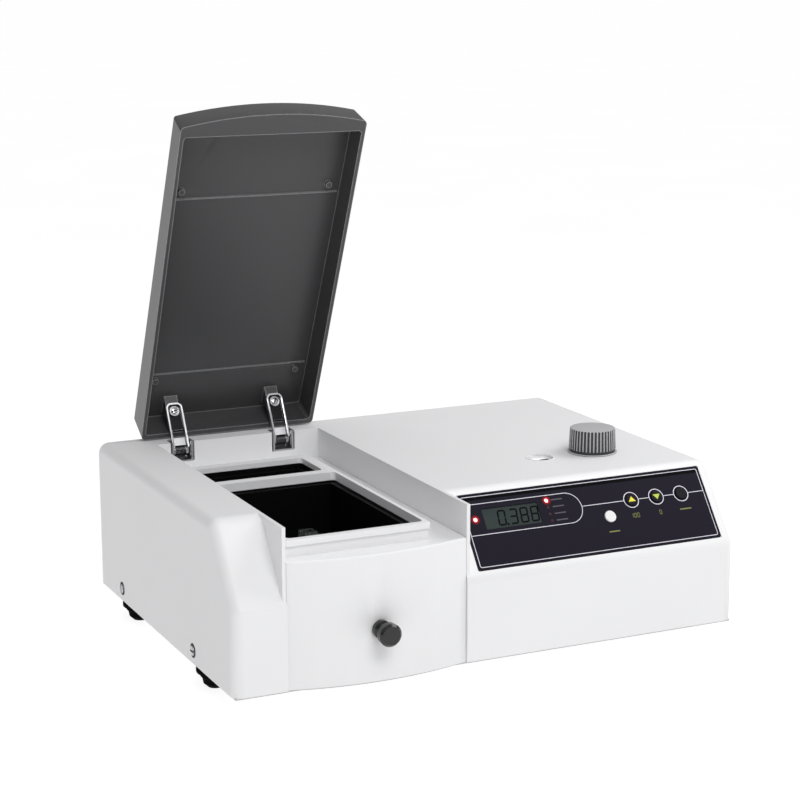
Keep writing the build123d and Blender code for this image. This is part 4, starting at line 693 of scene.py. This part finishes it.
def knob_form():
    """The whole knob as one shell, ring by ring from the base to the middle of the top."""
    form = bmesh.new()
    per_ridge = 10
    steps = ridge_count * per_ridge
    base = knob_low.z
    grip_foot = base + base_ring_height + neck_height
    top = knob_high.z
    levels = (
        (0.30 * knob_reach, base, 0), (knob_reach - 0.0003, base, 0), (knob_reach, base + 0.0003, 0),
        (knob_reach, base + base_ring_height - 0.0003, 0),
        (knob_reach - 0.0003, base + base_ring_height, 0),
        (neck_radius, base + base_ring_height, 0), (neck_radius, grip_foot, 0),
        (grip_foot_radius - 0.0004, grip_foot, 1), (grip_foot_radius, grip_foot + 0.0004, 1),
        (grip_head_radius, top - dome_rise - rim_bevel - 0.0006, 1),
        (grip_head_radius - 0.25 * rim_bevel, top - dome_rise - 0.55 * rim_bevel, 0.55),
        (grip_head_radius - 0.9 * rim_bevel, top - dome_rise - 0.08 * rim_bevel, 0.1),
        (grip_head_radius - 2.2 * rim_bevel, top - dome_rise + 0.0001, 0),
        (0.55 * knob_reach, top - 0.35 * dome_rise, 0), (0.25 * knob_reach, top - 0.06 * dome_rise, 0),
    )
    rings = []
    for radius, height, cut in levels:
        ring = []
        for step in range(steps):
            angle = 2 * pi * step / steps
            reach = radius - cut * groove_depth * groove_reach(step % per_ridge / per_ridge)
            ring.append(form.verts.new((
                knob_middle.x + reach * cos(angle), knob_middle.y + reach * sin(angle), height
            )))
        rings.append(ring)
    for low, high in zip(rings, rings[1:]):
        for step in range(steps):
            after = (step + 1) % steps
            form.faces.new((low[step], low[after], high[after], high[step]))
    form.faces.new(rings[0])
    form.faces.new(rings[-1])
    return form


grip = new_piece("knob_grip", knob_form(), knob_grey, "knob")
shade_smooth(grip, 50)
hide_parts("wavelength_knob")
# Painted shade: a dark core that fills the grooves and the neck, so that they read as shaded.
grooves = bmesh.new()
shade_foot = knob_low.z + base_ring_height
shade_head = knob_high.z - dome_rise - rim_bevel
shade_height = shade_head - shade_foot
shade_sink = 0.16 * groove_depth
turned(
    grooves,
    [(0.5 * knob_reach, 0), (shade_radius, 0), (shade_radius, neck_height),
     (grip_foot_radius - shade_sink, neck_height + 0.0003),
     (grip_head_radius - shade_sink, shade_height), (0.5 * knob_reach, shade_height)],
    (knob_middle.x, knob_middle.y, shade_foot), (0, 0, 1), 96,
)
new_piece("knob_groove_shade", grooves, knob_painted_shade, "knob")

# Dial and its window: a printed white disc under a clear lens, in a white ring. A dark mark lies on the
# lens near its front edge.
dial_white, dial_tree, dial_shader = new_material("dial_white", Roughness=0.5)
dial_place_coord = grain(dial_tree, dial_shader, 900, 0.00001)
mottle(dial_tree, dial_shader, dial_place_coord, (0.84, 0.84, 0.84), (0.87, 0.87, 0.87), 20)
# The disc shines faintly: painted light that keeps it bright in the shade under the window.
dial_shader.inputs["Emission Color"].default_value = (1, 1, 1, 1)
dial_shader.inputs["Emission Strength"].default_value = 0.6
paint(dial_white, "dial_disc")
lens, lens_tree, lens_shader = new_material(
    "window_lens", Roughness=0.08, Alpha=0.12, Base_Color=(1, 1, 1, 1)
)
grain(lens_tree, lens_shader, 200, 0.000003)
paint(lens, "window_lens")
ink = moulded("dial_ink", (0.02, 0.02, 0.025), 0.6, 0.000002)
dial_low, dial_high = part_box("dial_disc")
dial_middle = (dial_low + dial_high) / 2
dial_reach = (dial_high.x - dial_low.x) / 2
ink_height = 0.00006
dial_step = radians(2)
dial_ticks = 160
tick_outer = 0.95 * dial_reach
tick_length = 0.0028
tick_half = 0.00009
long_tick_length = 0.0048
long_tick_half = 0.00014
number_radius = 0.46 * dial_reach
number_half = 0.0062
number_height = 0.0042
number_line = 0.0009
first_wavelength = 340
wavelength_step = 20


def raised(form, outline, place):
    """A flat printed mark: an outline of (along, up) points, laid on a surface by place."""
    top = [form.verts.new(place(a, b, ink_height)) for a, b in outline]
    low = [form.verts.new(place(a, b, -ink_height)) for a, b in outline]
    form.faces.new(top)
    form.faces.new(low)
    for i in range(len(outline)):
        j = (i + 1) % len(outline)
        form.faces.new((low[i], low[j], top[j], top[i]))


segment_ends = {
    "a": ((0, 1), (1, 1)), "b": ((1, 1), (1, 0.5)), "c": ((1, 0.5), (1, 0)), "d": ((0, 0), (1, 0)),
    "e": ((0, 0.5), (0, 0)), "f": ((0, 1), (0, 0.5)), "g": ((0, 0.5), (1, 0.5)),
}
digit_segments = {
    "0": "abcdef", "1": "bc", "2": "abged", "3": "abgcd", "4": "fgbc",
    "5": "afgcd", "6": "afgedc", "7": "abc", "8": "abcdefg", "9": "abcdfg",
}


def bar(start, end, width):
    """Corners of a straight bar with pointed ends between two (along, up) points."""
    length = hypot(end[0] - start[0], end[1] - start[1])
    u = ((end[0] - start[0]) / length, (end[1] - start[1]) / length)
    n = (-u[1] * width / 2, u[0] * width / 2)
    tip = width / 2
    return [
        start,
        (start[0] + u[0] * tip - n[0], start[1] + u[1] * tip - n[1]),
        (end[0] - u[0] * tip - n[0], end[1] - u[1] * tip - n[1]),
        end,
        (end[0] - u[0] * tip + n[0], end[1] - u[1] * tip + n[1]),
        (start[0] + u[0] * tip + n[0], start[1] + u[1] * tip + n[1]),
    ]


def number(form, digits, corner, height, line, place, slant=0.0):
    """Print a number from its lower left corner, in straight segments."""
    width = 0.50 * height
    pitch = width + 2.6 * line
    along = corner[0]
    for digit in digits:
        if digit == ".":
            spot = (along - 1.3 * line, corner[1])
            half = 0.6 * line
            raised(form, [(spot[0] - half, spot[1] - half), (spot[0] + half, spot[1] - half),
                          (spot[0] + half, spot[1] + half), (spot[0] - half, spot[1] + half)], place)
            along += 0.8 * line
            continue
        for key in digit_segments[digit]:
            ends = []
            for a, b in segment_ends[key]:
                ends.append((along + a * width + slant * b * height, corner[1] + b * height))
            raised(form, bar(*ends, line), place)
        along += pitch


def dial_place(angle):
    """Lay marks on the dial along a spoke at an angle, upright when seen from outside."""
    spoke = Vector((cos(angle), sin(angle), 0))
    across = Vector((-sin(angle), cos(angle), 0))
    top = Vector((dial_middle.x, dial_middle.y, dial_high.z))

    def place(a, b, height):
        return top + across * a + spoke * b + Vector((0, 0, height))

    return place


lens_low, lens_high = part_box("window_lens")
lens_middle = (lens_low + lens_high) / 2
dark_mark_front = 0.0100
dark_mark_back = 0.0052
dark_mark_half_front = 0.0030
dark_mark_half_back = 0.0052


def lens_place(a, b, height):
    """Lay marks on the window's lens, along x and toward the front."""
    return Vector((lens_middle.x + a, lens_middle.y - b, lens_high.z + height))


dark_mark_form = bmesh.new()
raised(
    dark_mark_form,
    [(-dark_mark_half_front, dark_mark_front), (dark_mark_half_front, dark_mark_front),
     (dark_mark_half_back, dark_mark_back), (-dark_mark_half_back, dark_mark_back)],
    lens_place,
)
new_piece("window_dark_mark", dark_mark_form, ink, "instrument")

marks = bmesh.new()
for tick in range(dial_ticks):
    place = dial_place(tick * dial_step)
    long_tick = tick % 5 == 0
    inner = tick_outer - (long_tick_length if long_tick else tick_length)
    half = long_tick_half if long_tick else tick_half
    raised(marks, [(-half, inner), (half, inner), (half, tick_outer), (-half, tick_outer)], place)
    if tick % 20 == 0:
        text = str(first_wavelength + wavelength_step * tick // 5)
        number(marks, text, (-number_half, number_radius), number_height, number_line, place)
new_piece("dial_marks", marks, ink, "dial")

# Control panel: a dark printed film in the pocket of the slope, with pale lines, a bay round
# the display, rings round the keys and a black band along the top.
slope_run = 0.0466
slope_drop = 0.0612
slope_length = hypot(slope_run, slope_drop)
slope_up = Vector((0, slope_run, slope_drop)) / slope_length
slope_out = Vector((0, -slope_drop, slope_run)) / slope_length
slope_middle = Vector((0, cover_low.y + slope_run / 2, cover_high.z - slope_drop / 2))


def height_over_slope(name):
    """How far the highest point of a piece stands over the plane of the slope."""
    return max((Vector(v.co) - slope_middle).dot(slope_out) for v in nodes[name].data.vertices)


def slope_place(base):
    """Lay marks on the slope, x along it and v up it, at a height over its plane."""
    def place(x, v, height):
        return slope_middle + Vector((x, 0, 0)) + slope_up * v + slope_out * (base + height)

    return place


def line_shape(form, points, width, place, closed=False):
    """A line of constant width through (x, v) points, with mitred corners."""
    count = len(points)
    left = []
    right = []
    for i, point in enumerate(points):
        before = points[i - 1] if i > 0 or closed else None
        after = points[(i + 1) % count] if i < count - 1 or closed else None
        normals = []
        for a, b in ((before, point), (point, after)):
            if a is None or b is None:
                continue
            length = hypot(b[0] - a[0], b[1] - a[1])
            normals.append((-(b[1] - a[1]) / length, (b[0] - a[0]) / length))
        n = (sum(n[0] for n in normals) / len(normals), sum(n[1] for n in normals) / len(normals))
        scale = width / 2 / (n[0] * n[0] + n[1] * n[1])
        left.append((point[0] + n[0] * scale, point[1] + n[1] * scale))
        right.append((point[0] - n[0] * scale, point[1] - n[1] * scale))
    last = count if closed else count - 1
    for i in range(last):
        j = (i + 1) % count
        raised(form, [right[i], right[j], left[j], left[i]], place)


def arc_points(middle, radius, start, end, steps=24):
    return [
        (middle[0] + radius * cos(start + (end - start) * i / steps),
         middle[1] + radius * sin(start + (end - start) * i / steps))
        for i in range(steps + 1)
    ]


film = matt(moulded("panel_film", (0.013, 0.011, 0.020), 0.42, 0.00001), 0.06)
paint(film, "panel_overlay")
film_place = slope_place(height_over_slope("panel_overlay"))
film_low, film_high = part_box("panel_overlay")
film_rise = 0.0004
film_half_height = 0.0328
border_inset = 0.0025
border_left = film_low.x + border_inset
border_right = film_high.x - border_inset
border_low = film_rise - film_half_height + border_inset
border_high = film_rise + film_half_height - border_inset
border_corner = 0.0015
line_width = 0.00055
ring_width = 0.0007
pale_ink = moulded("panel_ink", (0.74, 0.73, 0.80), 0.5, 0.000002)
lines = bmesh.new()
corners = (
    (border_right - border_corner, border_low + border_corner, -pi / 2),
    (border_right - border_corner, border_high - border_corner, 0),
    (border_left + border_corner, border_high - border_corner, pi / 2),
    (border_left + border_corner, border_low + border_corner, pi),
)
frame_points = []
for x, v, start in corners:
    frame_points += arc_points((x, v), border_corner, start, start + pi / 2, 6)
line_shape(lines, frame_points, line_width, film_place, closed=True)

bay_low = -0.0027
bay_high = 0.0240
bay_radius = (bay_high - bay_low) / 2
bay_middle = (0.0929 - bay_radius, (bay_low + bay_high) / 2)
bay_points = [(border_left, bay_low)]
bay_points += arc_points(bay_middle, bay_radius, -pi / 2, pi / 2)
bay_points.append((border_left, bay_high))
line_shape(lines, bay_points, line_width, film_place)

ring_radius = 0.0068
ring_v = 0.0105
ring_xs = []
for key in ("key_up", "key_down", "key_print"):
    key_low, key_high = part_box(key)
    ring_xs.append((key_low.x + key_high.x) / 2)
link_start = bay_middle[0] + bay_radius
for x in ring_xs:
    ring_points = arc_points((x, ring_v), ring_radius, 0, 2 * pi, 40)[:-1]
    line_shape(lines, ring_points, ring_width, film_place, closed=True)
    line_shape(lines, [(link_start, ring_v), (x - ring_radius, ring_v)], line_width, film_place)
    link_start = x + ring_radius
line_shape(lines, [(link_start, ring_v), (border_right, ring_v)], line_width, film_place)
new_piece("panel_lines", lines, pale_ink, "instrument")

band = bmesh.new()
band_low = 0.0275
band_left = border_left + line_width
band_right = border_right - line_width
band_high = border_high - line_width
raised(
    band,
    [(band_left, band_low), (band_right, band_low), (band_right, band_high), (band_left, band_high)],
    film_place,
)
black_ink = matt(moulded("black_ink", (0.002, 0.002, 0.003), 0.5, 0.000002), 0.04)
new_piece("panel_band", band, black_ink, "instrument")

# Panel signs: bare bars beside the mode lamps, plain numbers under the two arrow keys, and
# bare bars under the other two. They are printed in dull inks.
bars = bmesh.new()
mode_bar_x = 0.0665
mode_bar_length = 0.0105
bar_width = 0.0011
mode_rows = (0.0195, 0.0135, 0.0075, 0.0015)
for v in mode_rows:
    line_shape(bars, [(mode_bar_x, v), (mode_bar_x + mode_bar_length, v)], bar_width, film_place)
grey_ink = matt(moulded("grey_ink", (0.10, 0.09, 0.11), 0.5, 0.000002), 0.1)
new_piece("mode_bars", bars, grey_ink, "instrument")

signs = bmesh.new()
sign_height = 0.0036
sign_line = 0.00048
sign_v = -0.0052
sign_halves = (0.0046, 0.0012)
mode_key_x = 0.1157
mode_sign = (mode_key_x, -0.0148, 0.0100)
print_sign = (ring_xs[2], -0.0034, 0.0110)
for text, ring_x, half in zip(("100", "0"), ring_xs, sign_halves):
    number(signs, text, (ring_x - half, sign_v), sign_height, sign_line, film_place)
for x, v, length in (mode_sign, print_sign):
    line_shape(signs, [(x - length / 2, v), (x + length / 2, v)], bar_width, film_place)
olive_ink = matt(moulded("olive_ink", (0.22, 0.22, 0.07), 0.5, 0.000002), 0.2)
new_piece("key_signs", signs, olive_ink, "instrument")

# Display: a grey-green glass with black figures, in a dark surround.
lcd_glass, lcd_tree, lcd_shader = new_material("lcd_glass", Roughness=0.12)
lcd_place_coord = grain(lcd_tree, lcd_shader, 500, 0.000003)
mottle(lcd_tree, lcd_shader, lcd_place_coord, (0.032, 0.043, 0.043), (0.037, 0.049, 0.048), 30)
matt(lcd_glass, 0.2)
paint(lcd_glass, "lcd_module")
lcd_face = slope_place(height_over_slope("lcd_module"))
figure_height = 0.0122
figure_left = 0.0150
figure_low = 0.0038
figures = bmesh.new()
figure_line = 0.0014
figure_slant = 0.10
number(figures, "0.388", (figure_left, figure_low), figure_height, figure_line, lcd_face, figure_slant)
new_piece("display_figures", figures, black_ink, "instrument")

# Lamps: red lamps that glow in the panel, and dark ones below the lit one.
lamp_red, lamp_tree, lamp_shader = new_material("lamp_red", Roughness=0.25, Base_Color=(0.7, 0.02, 0.01, 1))
lamp_shader.inputs["Emission Color"].default_value = (1.0, 0.42, 0.40, 1)
lamp_shader.inputs["Emission Strength"].default_value = 4.0
grain(lamp_tree, lamp_shader, 900, 0.000005)
paint(lamp_red, "indicator_leds")
led_low, led_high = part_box("indicator_leds")
lamp_inset = 0.0014
low_lamp = (led_low.x + lamp_inset, 0.0108)
high_lamp = (led_high.x - lamp_inset, mode_rows[0])
# Painted light: red rings on the film round each lit lamp, fainter outward, for the halo round the lamps.
glow_radii = (0.0018, 0.0025, 0.0033, 0.0042)
glow_strengths = (0.62, 0.20, 0.06)
for ring, strength in enumerate(glow_strengths):
    glow = matt(moulded(f"painted_lamp_halo_{ring + 1}", (0.03, 0.010, 0.014), 0.6, 0.000002), 0.05)
    glow_shader = glow.node_tree.nodes["Principled BSDF"]
    glow_shader.inputs["Emission Color"].default_value = (1.0, 0.03, 0.04, 1)
    glow_shader.inputs["Emission Strength"].default_value = strength
    glows = bmesh.new()
    for spot in (low_lamp, high_lamp):
        outer = arc_points(spot, glow_radii[ring + 1], 0, 2 * pi, 32)[:-1]
        inner = arc_points(spot, glow_radii[ring], 0, 2 * pi, 32)[:-1]
        for i in range(32):
            j = (i + 1) % 32
            raised(glows, [outer[i], outer[j], inner[j], inner[i]], film_place)
    new_piece(f"painted_lamp_halo_{ring + 1}", glows, glow, "instrument")
dark_lens = moulded("dark_lens", (0.05, 0.008, 0.010), 0.25, 0.000002)
unlit_x = 0.0622
unlit_radius = 0.0012
unlit = bmesh.new()
for v in mode_rows[1:]:
    raised(unlit, arc_points((unlit_x, v), unlit_radius, 0, 2 * pi, 20)[:-1], film_place)
new_piece("unlit_lamps", unlit, dark_lens, "instrument")

# Keys: film keys with a printed arrow on the first two, a bare third one, and a pale key
# lower down. Each stands in its hole and is pushed in by a finger.
key_film = matt(moulded("key_film", (0.008, 0.007, 0.011), 0.42, 0.00001), 0.12)
paint(key_film, "key_up", "key_down", "key_print")
pale_key = moulded("pale_key", (0.80, 0.80, 0.80), 0.4, 0.00001)
paint(pale_key, "key_mode")
yellow_ink = moulded("yellow_ink", (0.78, 0.72, 0.05), 0.5, 0.000002)
lime_ink = moulded("lime_ink", (0.50, 0.62, 0.06), 0.5, 0.000002)
arrow_half = 0.0034
arrow_tall = 0.0046
for key, sign, arrow_ink, body in (
    ("key_up", 1, yellow_ink, "up_key"), ("key_down", -1, lime_ink, "down_key")
):
    key_low, key_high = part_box(key)
    x = (key_low.x + key_high.x) / 2
    key_place = slope_place(height_over_slope(key))
    arrow = bmesh.new()
    foot = ring_v - sign * arrow_tall * 0.4
    tip = foot + sign * arrow_tall
    raised(arrow, [(x - arrow_half, foot), (x + arrow_half, foot), (x, tip)], key_place)
    new_piece(f"arrow_{body}", arrow, arrow_ink, body)

# Rear panel: painted sheet with the mains inlet, the fuse holder and the rocker switch, all
# of black moulded plastic. A bar over the switch and a ring under it are printed for on and off.
paint(black_plastic, "mains_inlet", "fuse_holder", "switch_frame", "power_rocker")
soften(0.0003, "mains_inlet", "fuse_holder", "switch_frame", "power_rocker")
panel_paint = moulded("rear_paint", (0.55, 0.55, 0.56), 0.45)
paint(panel_paint, "rear_panel", "base_plate")
frame_low, frame_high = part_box("switch_frame")
switch_x = (frame_low.x + frame_high.x) / 2
mark_gap = 0.0045
mark_reach = 0.0019
mark_line = 0.0006
panel_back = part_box("rear_panel")[1].y


def rear_place(a, b, height):
    """Lay marks on the rear panel, along x and up."""
    return Vector((a, panel_back + height, b))


power_marks = bmesh.new()
bar_middle = frame_high.z + mark_gap
ring_middle = frame_low.z - mark_gap
bar_ends = [(switch_x, bar_middle - mark_reach), (switch_x, bar_middle + mark_reach)]
line_shape(power_marks, bar_ends, mark_line, rear_place)
ring_points = arc_points((switch_x, ring_middle), mark_reach, 0, 2 * pi, 24)[:-1]
line_shape(power_marks, ring_points, mark_line, rear_place, closed=True)
new_piece("power_marks", power_marks, ink, "instrument")

# Inside: cast and turned metal, boards, the lamp and the transformer.
board_green = moulded("board_green", (0.02, 0.12, 0.05), 0.4)
paint(board_green, "display_board", "main_board")
brass = brushed("brass", (0.75, 0.55, 0.25, 1), 0.3)
paint(brass, "dial_gear", "knob_bush")
paint(bright_steel, "knob_shaft", "gear_plate")
cast_metal = brushed("cast_metal", (0.55, 0.55, 0.56, 1), 0.45)
paint(cast_metal, "monochromator_housing", "monochromator_lid", "grating_table", "lamp_house")
paint(black_plastic, "lamp_socket", "detector_housing", "photodiode")
mirror = brushed("mirror_face", (0.9, 0.9, 0.92, 1), 0.04, 200, 0.000001)
paint(mirror, "grating", "collimating_mirror")
copper = brushed("copper_winding", (0.75, 0.36, 0.15, 1), 0.35, 2500, 0.0001)
paint(copper, "transformer_coil")
core_steel = brushed("core_steel", (0.30, 0.30, 0.31, 1), 0.5, 3000, 0.0001)
paint(core_steel, "transformer_core")
bulb_glass, bulb_tree, bulb_shader = new_material(
    "bulb_glass", Roughness=0.03, IOR=1.47, Transmission_Weight=1.0, Base_Color=(1, 1, 1, 1)
)
grain(bulb_tree, bulb_shader, 200, 0.000002)
paint(bulb_glass, "lamp_bulb")
